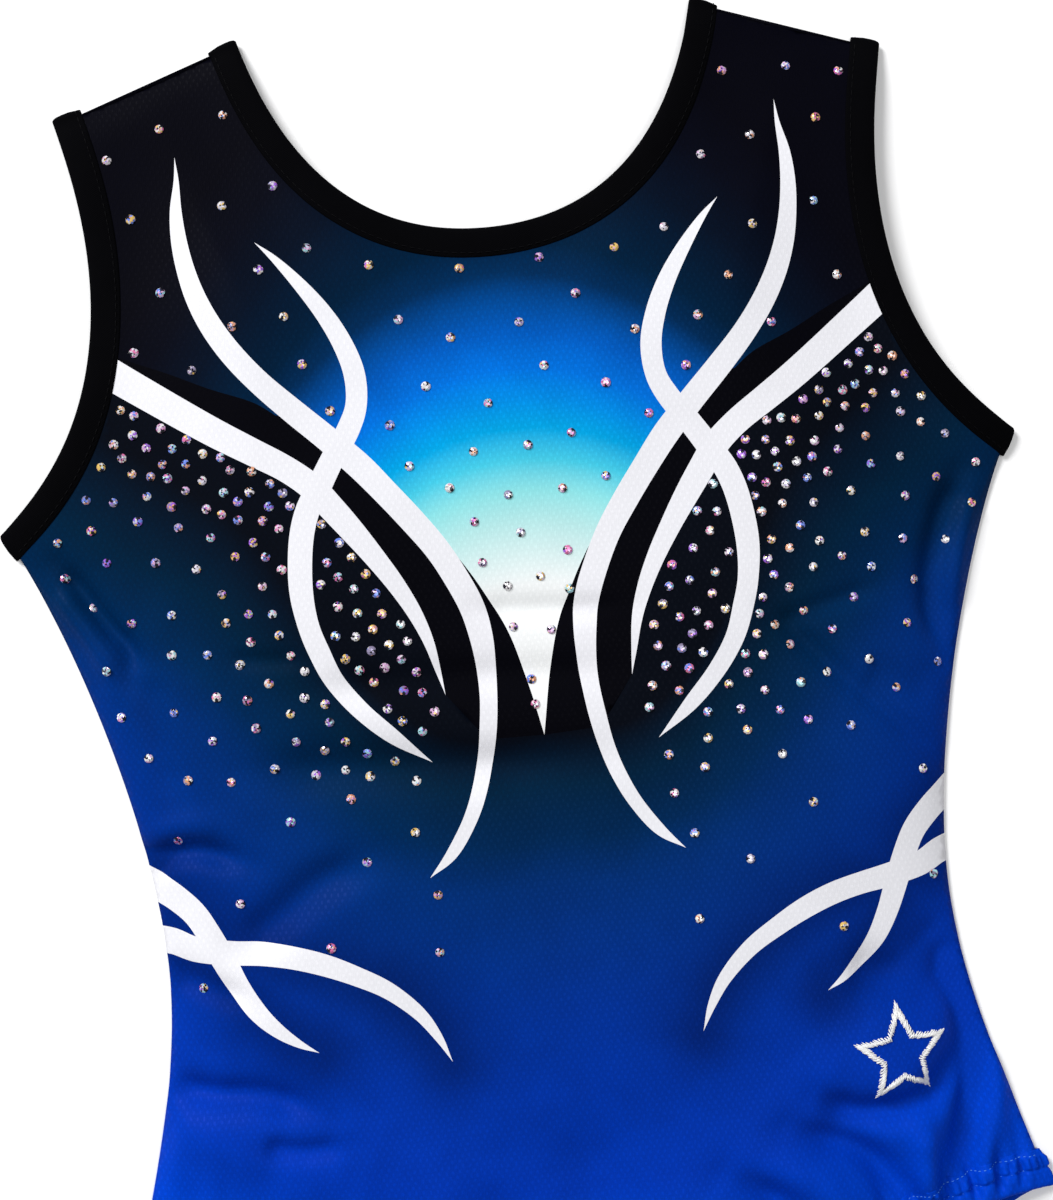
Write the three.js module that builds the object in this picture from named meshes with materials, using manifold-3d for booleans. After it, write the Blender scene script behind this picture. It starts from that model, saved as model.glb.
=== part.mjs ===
// Gymnastics leotard in a child's size, laid flat on its back with the front up.
//
// Millimetres. +X is the wearer's left, +Y runs up to the shoulders, +Z is up.
// The origin is on the surface that the garment lies on, under the middle of its box.
//
// A front and a back panel lie one over the other, joined by overlocked seams at the
// shoulders, the sides and the crotch. Between the seams the front panel stands off the
// back one, so the body is hollow and open at the neck, the armholes and the legs. Each of
// those openings has a folded binding: a closed loop that lies in two layers, with a loop
// of elastic inside it.

import * as THREE from 'three';
import { mergeVertices } from 'three/addons/utils/BufferGeometryUtils.js';
import Module from 'manifold-3d';

const wasm = await Module();
wasm.setup();

// ------------------------------------------------------------------ driving sizes

// Body, measured flat. Heights are above the crotch fold.
const bodyLength = 569;
const chestWidth = 340;
const waistWidth = 264;
const waistHeight = 267;
const hipWidth = 310;
const legHeight = 157;
const crotchWidth = 60;

// Neck and shoulders. Drops and depths are below the neck end of the shoulder seam.
const neckWidth = 152;
const frontNeckDrop = 69.5;
const backNeckDrop = 95;
const shoulderWidth = 278;
const shoulderDrop = 21;
const armholeDepth = 153;

// Fabric and how it lies.
const fabricThickness = 0.8;
const clearance = 0.3;
const seamAllowance = 6;
const seamStack = 3;
const loft = 14;
const shoulderEase = 60;
const crotchEase = 110;
const restMargin = 52;
const restEase = 24;

// Bindings of the neck and armholes, casings of the legs.
const bindingWidth = 10;
const casingWidth = 13;
const bindingWall = 0.8;
const elasticWidth = 3.2;
const foldReach = 2.8;
const threadWidth = 0.8;
const threadHeight = 0.4;
const coverstitchGap = 4.7;
const stitchInset = 1.6;

// Lining, label and embroidery.
const liningHeight = 95;
const liningThickness = 0.5;
const labelWidth = 24;
const labelHeight = 34;
const emblemRadius = 17;
const emblemLine = 2.6;
const emblemHeight = 0.7;
const emblemOffset = 107;
const emblemAboveCrotch = 211;
const backingMargin = 4;
const starPoints = 5;
const starWaist = 0.47;

// Mesh fineness.
const curveSteps = 10;
const endStep = 0.015;
const cellSize = 33;

// ------------------------------------------------------------------ pattern edges

// Every edge runs clockwise as seen from above, so the fabric is on its right-hand side.

const point = (x, y) => new THREE.Vector2(x, y);

const neckPoint = point(neckWidth / 2, bodyLength);
const shoulderPoint = point(shoulderWidth / 2, bodyLength - shoulderDrop);
const armpitPoint = point(chestWidth / 2, bodyLength - armholeDepth);
const waistPoint = point(waistWidth / 2, waistHeight);
const hipPoint = point(hipWidth / 2, legHeight);
const crotchPoint = point(crotchWidth / 2, 0);

// A curve between two points, drawn towards a handle at each end. A short step at each end
// keeps its end directions true, so that edges which meet there run on in line.
function bend(start, startHandle, endHandle, end) {
  const first = start.clone().add(startHandle);
  const second = end.clone().add(endHandle);
  const curve = new THREE.CubicBezierCurve(start, first, second, end);
  const inner = curve.getPoints(curveSteps).slice(1, -1);
  return [start, curve.getPoint(endStep), ...inner, curve.getPoint(1 - endStep), end];
}

function mirrored(edge) {
  return edge.map((p) => point(-p.x, p.y)).reverse();
}

function neckline(drop, sidePull) {
  const lowest = point(0, bodyLength - drop);
  const leaning = point(-0.25, -0.97).multiplyScalar(sidePull);
  const half = bend(lowest, point(0.58 * neckPoint.x, 0), leaning, neckPoint);
  return [...mirrored(half), ...half.slice(1)];
}

function armhole() {
  return bend(shoulderPoint, point(-12, -45), point(-43, 33), armpitPoint);
}

function sideSeam() {
  const upper = bend(armpitPoint, point(-18, -34), point(0, 48), waistPoint);
  const lower = bend(waistPoint, point(0, -42), point(-7, 32), hipPoint);
  return [...upper, ...lower.slice(1)];
}

function legline(sidePull, crotchPull) {
  return bend(hipPoint, point(-sidePull, 0), point(0, crotchPull), crotchPoint);
}

const frontNeck = neckline(frontNeckDrop, 40);
const backNeck = neckline(backNeckDrop, 62);
const leftArmhole = armhole();
const leftSide = sideSeam();
const leftFrontLeg = legline(66, 107);
const leftBackLeg = legline(34, 36);
const leftShoulder = [neckPoint, shoulderPoint];
const crotch = [crotchPoint, point(-crotchPoint.x, 0)];

function outline(neck, leg) {
  const left = [...leftArmhole, ...leftSide.slice(1), ...leg.slice(1)];
  return [...neck, ...left, ...mirrored(left)];
}

const frontOutline = outline(frontNeck, leftFrontLeg);
const backOutline = outline(backNeck, leftBackLeg);

// The strip between two distances inside an edge, run on past both of its ends.
function strip(edge, near, far, reach) {
  const line = reach > 0 ? lengthened(edge, reach) : edge;
  const inward = line.map((p, i) => {
    const ahead = line[Math.min(i + 1, line.length - 1)];
    const behind = line[Math.max(i - 1, 0)];
    return rightHand(ahead.clone().sub(behind).normalize());
  });
  const offset = (by) => line.map((p, i) => p.clone().addScaledVector(inward[i], by));
  return [...offset(near), ...offset(far).reverse()];
}

function rightHand(direction) {
  return point(direction.y, -direction.x);
}

function lengthened(edge, reach) {
  const last = edge.length - 1;
  const before = edge[0].clone().sub(edge[1]).setLength(reach).add(edge[0]);
  const after = edge[last].clone().sub(edge[last - 1]).setLength(reach).add(edge[last]);
  return [before, ...edge, after];
}

// The two blocks past the ends of an edge, between two distances along it and inside it.
function endBlocks(edge, near, far, from, to) {
  const last = edge.length - 1;
  const atStart = edge[1].clone().sub(edge[0]).normalize();
  const atEnd = edge[last].clone().sub(edge[last - 1]).normalize();
  const block = (corner, forward, sign) => {
    const spot = (along, inside) => corner.clone()
      .addScaledVector(forward, sign * along)
      .addScaledVector(rightHand(forward), inside);
    return [spot(from, near), spot(to, near), spot(to, far), spot(from, far)];
  };
  return [block(edge[0], atStart, -1), block(edge[last], atEnd, 1)];
}

// ------------------------------------------------------------------ heights

function smooth(t) {
  const s = Math.min(Math.max(t, 0), 1);
  return s * s * (3 - 2 * s);
}

// Half the garment's width at a height, taken from the side seam.
function halfWidth(y) {
  if (y >= armpitPoint.y) {
    return armpitPoint.x;
  }
  const below = leftSide.findIndex((p) => p.y <= y);
  if (below < 1) {
    return hipPoint.x;
  }
  const low = leftSide[below];
  const high = leftSide[below - 1];
  return low.x + (high.x - low.x) * (y - low.y) / (high.y - low.y);
}

function distanceToEdge(x, y, edge) {
  const here = new THREE.Vector3(x, y, 0);
  const nearest = new THREE.Vector3();
  const distances = edge.map((p, i) => {
    const next = edge[(i + 1) % edge.length];
    const side = new THREE.Line3(new THREE.Vector3(p.x, p.y, 0), new THREE.Vector3(next.x, next.y, 0));
    return side.closestPointToPoint(here, true, nearest).distanceTo(here);
  });
  return Math.min(...distances);
}

// The back panel lies on the surface in its middle. Towards its edges it is lifted by the
// under layer of the bindings.
function backLow(x, y) {
  const flat = smooth((distanceToEdge(x, y, backOutline) - restMargin) / restEase);
  return (bindingWall + clearance) * (1 - flat);
}

function backHigh(x, y) {
  return backLow(x, y) + fabricThickness;
}

// The front panel is one seam's height above the back one at the seams, and crowns between.
function frontLow(x, y) {
  const across = Math.min(Math.abs(x) / halfWidth(y), 1);
  const shoulderLine = neckPoint.y - shoulderDrop
    * Math.max(Math.abs(x) - neckPoint.x, 0) / (shoulderPoint.x - neckPoint.x);
  const crown = (1 - across * across)
    * smooth((shoulderLine - y) / shoulderEase)
    * smooth(y / crotchEase);
  return backHigh(x, y) + seamStack + loft * crown;
}

function frontHigh(x, y) {
  return frontLow(x, y) + fabricThickness;
}

const backLayer = { low: backLow, high: backHigh };
const frontLayer = { low: frontLow, high: frontHigh };

// ------------------------------------------------------------------ solids

function toSolid(geometry) {
  geometry.deleteAttribute('normal');
  geometry.deleteAttribute('uv');
  const merged = mergeVertices(geometry);
  return new wasm.Manifold(new wasm.Mesh({
    numProp: 3,
    vertProperties: new Float32Array(merged.attributes.position.array),
    triVerts: new Uint32Array(merged.index.array),
  }));
}

// A sheet over the whole garment, between two heights that change from place to place.
// Its two faces are triangulated alike, so sheets that are stacked keep their gaps.
function sheet(low, high) {
  const width = Math.max(chestWidth, hipWidth, shoulderWidth) + 4 * casingWidth;
  const length = bodyLength + 4 * casingWidth;
  const columns = Math.round(width / cellSize);
  const rows = Math.round(length / cellSize);
  const plane = new THREE.PlaneGeometry(width, length, columns, rows);
  plane.translate(0, bodyLength / 2, 0);
  const spots = plane.attributes.position;
  const under = spots.count;
  const vertices = [];
  for (const height of [high, low]) {
    for (let i = 0; i < spots.count; i += 1) {
      vertices.push(spots.getX(i), spots.getY(i), height(spots.getX(i), spots.getY(i)));
    }
  }
  const upper = [...plane.index.array];
  const lower = upper.map((i) => i + under).reverse();
  const rim = [];
  const around = rimOf(columns, rows);
  around.forEach((here, i) => {
    const next = around[(i + 1) % around.length];
    rim.push(here, next, here + under, next, next + under, here + under);
  });
  const geometry = new THREE.BufferGeometry();
  geometry.setAttribute('position', new THREE.Float32BufferAttribute(vertices, 3));
  geometry.setIndex([...upper, ...lower, ...rim]);
  return toSolid(geometry);
}

// The vertices round a plane's border, clockwise from its top left corner.
function rimOf(columns, rows) {
  const across = Array.from({ length: columns }, (_, i) => i);
  const down = Array.from({ length: rows }, (_, i) => i * (columns + 1));
  const last = (columns + 1) * (rows + 1) - 1;
  return [
    ...across,
    ...down.map((i) => columns + i),
    ...across.map((i) => last - i),
    ...down.map((i) => last - columns - i),
  ];
}

// A layer of the garment with a margin below and above it.
function layerSheet(layer, margin) {
  return sheet((x, y) => layer.low(x, y) - margin, (x, y) => layer.high(x, y) + margin);
}

// An upright column with the given outline, taller than the garment both ways.
function column(points) {
  const depth = 4 * (loft + seamStack + bindingWidth);
  const geometry = new THREE.ExtrudeGeometry(new THREE.Shape(points), { depth, bevelEnabled: false });
  geometry.translate(0, 0, -depth / 2);
  return toSolid(geometry);
}

const joinAll = (solids) => solids.reduce((whole, solid) => whole.add(solid));
const cutAll = (body, tools) => tools.reduce((whole, tool) => whole.subtract(tool), body);

const backSheet = layerSheet(backLayer, 0);
const frontSheet = layerSheet(frontLayer, 0);
const gapSheet = sheet((x, y) => backHigh(x, y) + clearance, (x, y) => frontLow(x, y) - clearance);
const wholeSheet = (margin) => sheet(
  (x, y) => backLow(x, y) - margin,
  (x, y) => frontHigh(x, y) + margin,
);

// ------------------------------------------------------------------ bound edges

// The distance from a bound edge to the raw edge of the panel inside the binding.
const rawEdge = bindingWall + clearance + elasticWidth + clearance;

// A folded binding: a closed loop round a front edge and a back edge, in section a U round
// the panel and the elastic, and joined from layer to layer past the ends of the edges.
function bindingLoop(front, back, width) {
  const outer = bindingWall + clearance;
  const bandOf = (edge, layer) => column(strip(edge, 0, width, foldReach))
    .intersect(layerSheet(layer, outer));
  const slotOf = (edge, layer) => column(strip(edge, bindingWall, width + 1, clearance))
    .intersect(layerSheet(layer, clearance));
  const folds = endBlocks(front, 0, width, clearance, foldReach)
    .map((block) => column(block).intersect(wholeSheet(outer)));
  const channels = endBlocks(front, bindingWall, rawEdge, 0, foldReach - bindingWall)
    .map((block) => column(block).intersect(wholeSheet(clearance)));
  const bands = [bandOf(front, frontLayer), bandOf(back, backLayer), ...folds];
  return cutAll(joinAll(bands), [slotOf(front, frontLayer), slotOf(back, backLayer), ...channels]);
}

// The elastic inside a binding: the same loop, one clearance inside its walls.
function elasticLoop(front, back) {
  const near = bindingWall + clearance;
  const far = near + elasticWidth;
  const reach = foldReach - bindingWall - clearance;
  const bandOf = (edge, panelSheet) => column(strip(edge, near, far, reach)).intersect(panelSheet);
  const folds = endBlocks(front, near, far, clearance, reach)
    .map((block) => column(block).intersect(wholeSheet(0)));
  return joinAll([bandOf(front, frontSheet), bandOf(back, backSheet), ...folds]);
}

// What a panel leaves free for a binding: its elastic, its outer wall and its folds.
function panelCuts(edge, width) {
  const folds = endBlocks(edge, -1, width + clearance, 0, foldReach + 1);
  return [strip(edge, -1, rawEdge, foldReach), ...folds].map(column);
}

// What a piece between the panels leaves free for a binding.
function innerCuts(edge, width) {
  const folds = endBlocks(edge, -1, width + clearance, 0, foldReach + 1);
  return [strip(edge, -1, width + clearance, foldReach), ...folds].map(column);
}

// A raised line of thread on the front of a binding, at a distance inside its edge.
function threadRow(edge, inset) {
  const foot = bindingWall + 2 * clearance;
  const lane = column(strip(edge, inset - threadWidth / 2, inset + threadWidth / 2, 0));
  return lane.intersect(sheet(
    (x, y) => frontHigh(x, y) + foot,
    (x, y) => frontHigh(x, y) + foot + threadHeight,
  ));
}

const loops = [
  { name: 'neck', front: frontNeck, back: backNeck, width: bindingWidth },
  { name: 'left_armhole', front: leftArmhole, back: leftArmhole, width: bindingWidth },
  { name: 'left_leg', front: leftFrontLeg, back: leftBackLeg, width: casingWidth },
  { name: 'right_armhole', front: mirrored(leftArmhole), back: mirrored(leftArmhole), width: bindingWidth },
  { name: 'right_leg', front: mirrored(leftFrontLeg), back: mirrored(leftBackLeg), width: casingWidth },
];

// ------------------------------------------------------------------ panels and inner pieces

function panel(points, side, panelSheet) {
  const cuts = loops.flatMap((loop) => panelCuts(loop[side], loop.width));
  return cutAll(column(points).intersect(panelSheet), cuts);
}

// Cuts for the pieces that lie between the panels, where front and back bindings differ.
const betweenCuts = loops.flatMap((loop) => [
  ...innerCuts(loop.front, loop.width),
  ...innerCuts(loop.back, loop.width),
]);

// An overlocked seam allowance, turned to the inside along a seam.
function seam(edge) {
  const lane = column(strip(edge, 0, seamAllowance, 0)).intersect(gapSheet);
  return cutAll(lane, betweenCuts);
}

// The crotch lining: a sheet folded at the crotch seam, one leaf against each panel.
function crotchLining() {
  const bottom = seamAllowance + clearance;
  const spine = bottom + 2 * liningThickness;
  const wide = hipWidth;
  const block = (from, to) => [point(-wide, from), point(wide, from), point(wide, to), point(-wide, to)];
  const lowerLeaf = sheet(
    (x, y) => backHigh(x, y) + clearance,
    (x, y) => backHigh(x, y) + clearance + liningThickness,
  );
  const upperLeaf = sheet(
    (x, y) => frontLow(x, y) - clearance - liningThickness,
    (x, y) => frontLow(x, y) - clearance,
  );
  const leaves = column(block(bottom, liningHeight)).intersect(lowerLeaf.add(upperLeaf));
  const fold = column(block(bottom, spine)).intersect(gapSheet);
  const inside = column(frontOutline);
  return cutAll(leaves.add(fold).intersect(inside), betweenCuts);
}

// The care label hangs inside the back from the neck binding.
function careLabel() {
  const top = bodyLength - backNeckDrop - bindingWidth - clearance;
  const half = labelWidth / 2;
  const corners = [
    point(-half, top - labelHeight), point(half, top - labelHeight), point(half, top), point(-half, top),
  ];
  return column(corners).intersect(sheet(
    (x, y) => backHigh(x, y) + clearance,
    (x, y) => backHigh(x, y) + clearance + liningThickness,
  ));
}

// ------------------------------------------------------------------ embroidery

function star(radius) {
  const corners = [];
  for (let i = 0; i < 2 * starPoints; i += 1) {
    const reach = i % 2 === 0 ? radius : radius * starWaist;
    const angle = Math.PI / 2 + Math.PI * i / starPoints;
    const x = emblemOffset + reach * Math.cos(angle);
    corners.push(point(x, emblemAboveCrotch + reach * Math.sin(angle)));
  }
  return corners;
}

// A star drawn as one satin-stitched line, open in the middle.
function embroideredStar() {
  const line = column(star(emblemRadius)).subtract(column(star(emblemRadius - 2 * emblemLine)));
  return line.intersect(sheet(
    (x, y) => frontHigh(x, y) + clearance,
    (x, y) => frontHigh(x, y) + clearance + emblemHeight,
  ));
}

// The stabiliser that the star is stitched through, inside the front panel.
function starBacking() {
  const patch = new THREE.EllipseCurve(
    emblemOffset, emblemAboveCrotch, emblemRadius + backingMargin, emblemRadius + backingMargin,
  );
  return column(patch.getPoints(2 * curveSteps).slice(1)).intersect(sheet(
    (x, y) => frontLow(x, y) - clearance - liningThickness,
    (x, y) => frontLow(x, y) - clearance,
  ));
}

// ------------------------------------------------------------------ assembly

const leotard = new THREE.Group();

const finish = (color, roughness) => new THREE.MeshStandardMaterial({ color, roughness, metalness: 0 });
const bodyFabric = () => finish(0x0b34a6, 0.45);
const bindingFabric = () => finish(0x08080a, 0.8);
const casingFabric = () => finish(0x0a3cb4, 0.5);
const elastic = () => finish(0xe8e6e0, 0.7);
const overlock = () => finish(0x10182c, 0.85);
const thread = () => finish(0x9cc8f0, 0.6);

function addPiece(name, solid, material) {
  const { vertProperties, triVerts } = solid.getMesh();
  const geometry = new THREE.BufferGeometry();
  geometry.setAttribute('position', new THREE.BufferAttribute(vertProperties, 3));
  geometry.setIndex(new THREE.BufferAttribute(triVerts, 1));
  geometry.computeVertexNormals();
  const mesh = new THREE.Mesh(geometry, material);
  mesh.name = name;
  leotard.add(mesh);
}

addPiece('front_panel', panel(frontOutline, 'front', frontSheet), bodyFabric());
addPiece('back_panel', panel(backOutline, 'back', backSheet), bodyFabric());

for (const { name, front, back, width } of loops) {
  const isLeg = name.endsWith('leg');
  const shell = isLeg ? `${name}_casing` : `${name}_binding`;
  addPiece(shell, bindingLoop(front, back, width), isLeg ? casingFabric() : bindingFabric());
  addPiece(`${name}_elastic`, elasticLoop(front, back), elastic());
  const upperRow = width - stitchInset;
  const rows = isLeg ? { upper: upperRow, lower: upperRow - coverstitchGap } : { inner: upperRow };
  for (const [row, inset] of Object.entries(rows)) {
    addPiece(`${name}_${row}_stitching`, threadRow(front, inset), thread());
  }
}

addPiece('left_side_seam', seam(leftSide), overlock());
addPiece('right_side_seam', seam(mirrored(leftSide)), overlock());
addPiece('left_shoulder_seam', seam(leftShoulder), overlock());
addPiece('right_shoulder_seam', seam(mirrored(leftShoulder)), overlock());
addPiece('crotch_seam', seam(crotch), overlock());
addPiece('crotch_lining', crotchLining(), finish(0x1a2c60, 0.8));
addPiece('care_label', careLabel(), finish(0xf2f2f0, 0.6));
addPiece('star_embroidery', embroideredStar(), finish(0xcfe4fa, 0.4));
addPiece('star_backing', starBacking(), finish(0xf4f4f4, 0.9));

// The whole garment is moved so that its box stands on the origin.
const box = new THREE.Box3().setFromObject(leotard);
const middle = box.getCenter(new THREE.Vector3());
leotard.position.set(-middle.x, -middle.y, -box.min.z);

export default leotard;
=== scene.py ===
import math

import bpy
import numpy as np
from mathutils import Matrix, Vector
from mathutils.geometry import delaunay_2d_cdt
from mathutils.kdtree import KDTree


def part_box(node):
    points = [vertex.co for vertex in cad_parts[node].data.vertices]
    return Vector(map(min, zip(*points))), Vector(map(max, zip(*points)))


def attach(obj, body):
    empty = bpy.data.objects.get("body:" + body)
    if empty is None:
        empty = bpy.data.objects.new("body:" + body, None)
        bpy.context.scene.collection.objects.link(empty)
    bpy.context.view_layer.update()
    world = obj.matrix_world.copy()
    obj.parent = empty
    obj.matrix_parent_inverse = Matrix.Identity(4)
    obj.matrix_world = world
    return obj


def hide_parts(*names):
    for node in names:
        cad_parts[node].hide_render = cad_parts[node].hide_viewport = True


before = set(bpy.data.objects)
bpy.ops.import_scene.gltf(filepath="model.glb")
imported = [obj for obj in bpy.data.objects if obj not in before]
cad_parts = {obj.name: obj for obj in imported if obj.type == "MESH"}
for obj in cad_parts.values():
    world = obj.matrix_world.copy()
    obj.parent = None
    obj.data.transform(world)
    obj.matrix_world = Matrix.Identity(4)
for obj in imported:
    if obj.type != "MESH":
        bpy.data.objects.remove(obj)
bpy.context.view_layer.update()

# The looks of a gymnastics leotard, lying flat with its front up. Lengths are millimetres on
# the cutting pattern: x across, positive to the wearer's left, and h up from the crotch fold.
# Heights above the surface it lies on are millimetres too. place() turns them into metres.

CROTCH_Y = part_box("crotch_seam")[0].y
MM = 0.001

# ------------------------------------------------------------------ sizes

BODY_LENGTH = 569.0
NECK = np.array((76.0, 569.0))
SHOULDER = np.array((139.0, 548.0))
ARMPIT = np.array((170.0, 416.0))
WAIST = np.array((132.0, 267.0))
HIP = np.array((155.0, 157.0))
CROTCH = np.array((30.0, 0.0))
FRONT_NECK_DROP = 69.5
BACK_NECK_DROP = 95.0
RAW_EDGE = 4.6
BINDING_WIDTH = 10.0
CASING_WIDTH = 13.0
CLOTH = 0.5
PRINT_ZERO = 375.0
STAR_CENTRE = np.array((107.0, 211.0))
STAR_RADIUS = 17.0
STAR_LINE = 2.0
GRID_STEP = 2.1

# ------------------------------------------------------------------ lines


def one_side(points):
    """The points with the right half brought over to the left, as the two halves are alike."""
    return np.column_stack([np.abs(points[:, 0]), points[:, 1]])


def bend(start, start_handle, end_handle, end, steps=48):
    """A cubic curve between two points, drawn towards a handle at each end."""
    p0, p3 = np.asarray(start, float), np.asarray(end, float)
    p1, p2 = p0 + start_handle, p3 + end_handle
    t = np.linspace(0, 1, steps + 1)[:, None]
    return (1 - t) ** 3 * p0 + 3 * (1 - t) ** 2 * t * p1 + 3 * (1 - t) * t**2 * p2 + t**3 * p3


def mirrored(line):
    return (line * (-1, 1))[::-1]


def lengths(line):
    """The distance along a line to each of its points."""
    return np.concatenate([[0], np.cumsum(np.linalg.norm(np.diff(line, axis=0), axis=1))])


def resample(line, step, by=2):
    """A line's rows at even steps along its first `by` columns."""
    s = lengths(line[:, :by])
    at = np.linspace(0, s[-1], max(2, round(s[-1] / step) + 1))
    return np.column_stack([np.interp(at, s, line[:, k]) for k in range(line.shape[1])])


def spline(rows, step=1.5):
    """A smooth line through rows of numbers, at even steps in its first two columns."""
    p = np.array(rows, float)
    p = np.vstack([2 * p[0] - p[1], p, 2 * p[-1] - p[-2]])
    t = np.linspace(0, 1, 9)[:-1, None]
    parts = [
        0.5 * (2 * b + (c - a) * t + (2 * a - 5 * b + 4 * c - d) * t**2 + (3 * b - a - 3 * c + d) * t**3)
        for a, b, c, d in zip(p[:-3], p[1:-2], p[2:-1], p[3:])
    ]
    return resample(np.vstack([*parts, p[-2:-1]]), step)


def directions(line):
    d = np.gradient(line[:, :2], axis=0)
    return d / np.linalg.norm(d, axis=1)[:, None]


def right_hand(d):
    return np.column_stack([d[:, 1], -d[:, 0]])


def nearest(points, line):
    """How far each point is from a line, and how far along the line the nearest place is."""
    start, step = line[:-1], np.diff(line, axis=0)
    square = np.maximum((step * step).sum(1), 1e-12)
    s = lengths(line)
    best, along = np.empty(len(points)), np.empty(len(points))
    chunk = max(1, 1500000 // len(step))
    for first in range(0, len(points), chunk):
        part = slice(first, first + chunk)
        x = points[part, :1] - start[:, 0]
        y = points[part, 1:2] - start[:, 1]
        t = np.clip((x * step[:, 0] + y * step[:, 1]) / square, 0, 1)
        far = (x - t * step[:, 0]) ** 2 + (y - t * step[:, 1]) ** 2
        k = far.argmin(1)
        row = np.arange(len(k))
        best[part] = np.sqrt(far[row, k])
        along[part] = s[k] + t[row, k] * np.sqrt(square[k])
    return best, along


def away(points, *lines):
    return np.min([nearest(points, line)[0] for line in lines], axis=0)


def inside(points, polygon):
    """Which points lie inside a closed polygon."""
    x, y = points[:, 0], points[:, 1]
    odd = np.zeros(len(points), bool)
    ahead = np.roll(polygon, -1, axis=0)
    for (ax, ay), (bx, by) in zip(polygon, ahead):
        if ay == by:
            continue
        crosses = (ay > y) != (by > y)
        odd ^= crosses & (x < (bx - ax) * (y - ay) / (by - ay) + ax)
    return odd


def smooth(t):
    s = np.clip(t, 0, 1)
    return s * s * (3 - 2 * s)


# ------------------------------------------------------------------ pattern

# Every edge runs clockwise seen from above, with the fabric on its right-hand side.


def half_neck(drop, pull):
    lowest = np.array((0, BODY_LENGTH - drop))
    return bend(lowest, (0.58 * NECK[0], 0), (-0.25 * pull, -0.97 * pull), NECK)


def whole(half):
    return np.vstack([mirrored(half)[:-1], half])


front_half_neck = half_neck(FRONT_NECK_DROP, 40)
back_half_neck = half_neck(BACK_NECK_DROP, 62)
front_neck = whole(front_half_neck)
back_neck = whole(back_half_neck)
armhole = bend(SHOULDER, (-12, -45), (-43, 33), ARMPIT)
upper_side = bend(ARMPIT, (-18, -34), (0, 48), WAIST)
lower_side = bend(WAIST, (0, -42), (-7, 32), HIP)
side = np.vstack([upper_side[:-1], lower_side])
front_leg = bend(HIP, (-66, 0), (0, 107), CROTCH)
back_leg = bend(HIP, (-34, 0), (0, 36), CROTCH)
shoulder = np.array((NECK, SHOULDER))
crotch = np.array((CROTCH, (0.0, 0.0)))

coarse = {
    "armhole": resample(armhole, 7),
    "side": resample(side, 8),
    "front_neck": resample(front_half_neck, 7),
    "back_neck": resample(back_half_neck, 7),
    "front_leg": resample(front_leg, 7),
    "back_leg": resample(back_leg, 7),
}


def outline(neck, leg):
    left = np.vstack([armhole, side[1:], leg[1:]])
    return np.vstack([neck, left, mirrored(left)])


def inset(line, by):
    return line + right_hand(directions(line)) * by


def cut_outline(neck, leg, step=2.2):
    """A panel's outline, with its bound edges cut back inside their bindings."""

    def trimmed(line):
        return inset(resample(line, step), RAW_EDGE)

    arm, thigh = trimmed(armhole), trimmed(leg)
    seam = resample(side, step)
    seam = seam[(seam[:, 1] < arm[-1, 1] - 2) & (seam[:, 1] > thigh[0, 1] + 2)]
    left = np.vstack([arm, seam, thigh])
    return np.vstack([trimmed(neck), left, mirrored(left)])


def half_width(h):
    return np.where(h >= ARMPIT[1], ARMPIT[0], np.where(
        h < HIP[1], HIP[0], np.interp(h, side[::-1, 1], side[::-1, 0])))


# ------------------------------------------------------------------ drape

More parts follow.
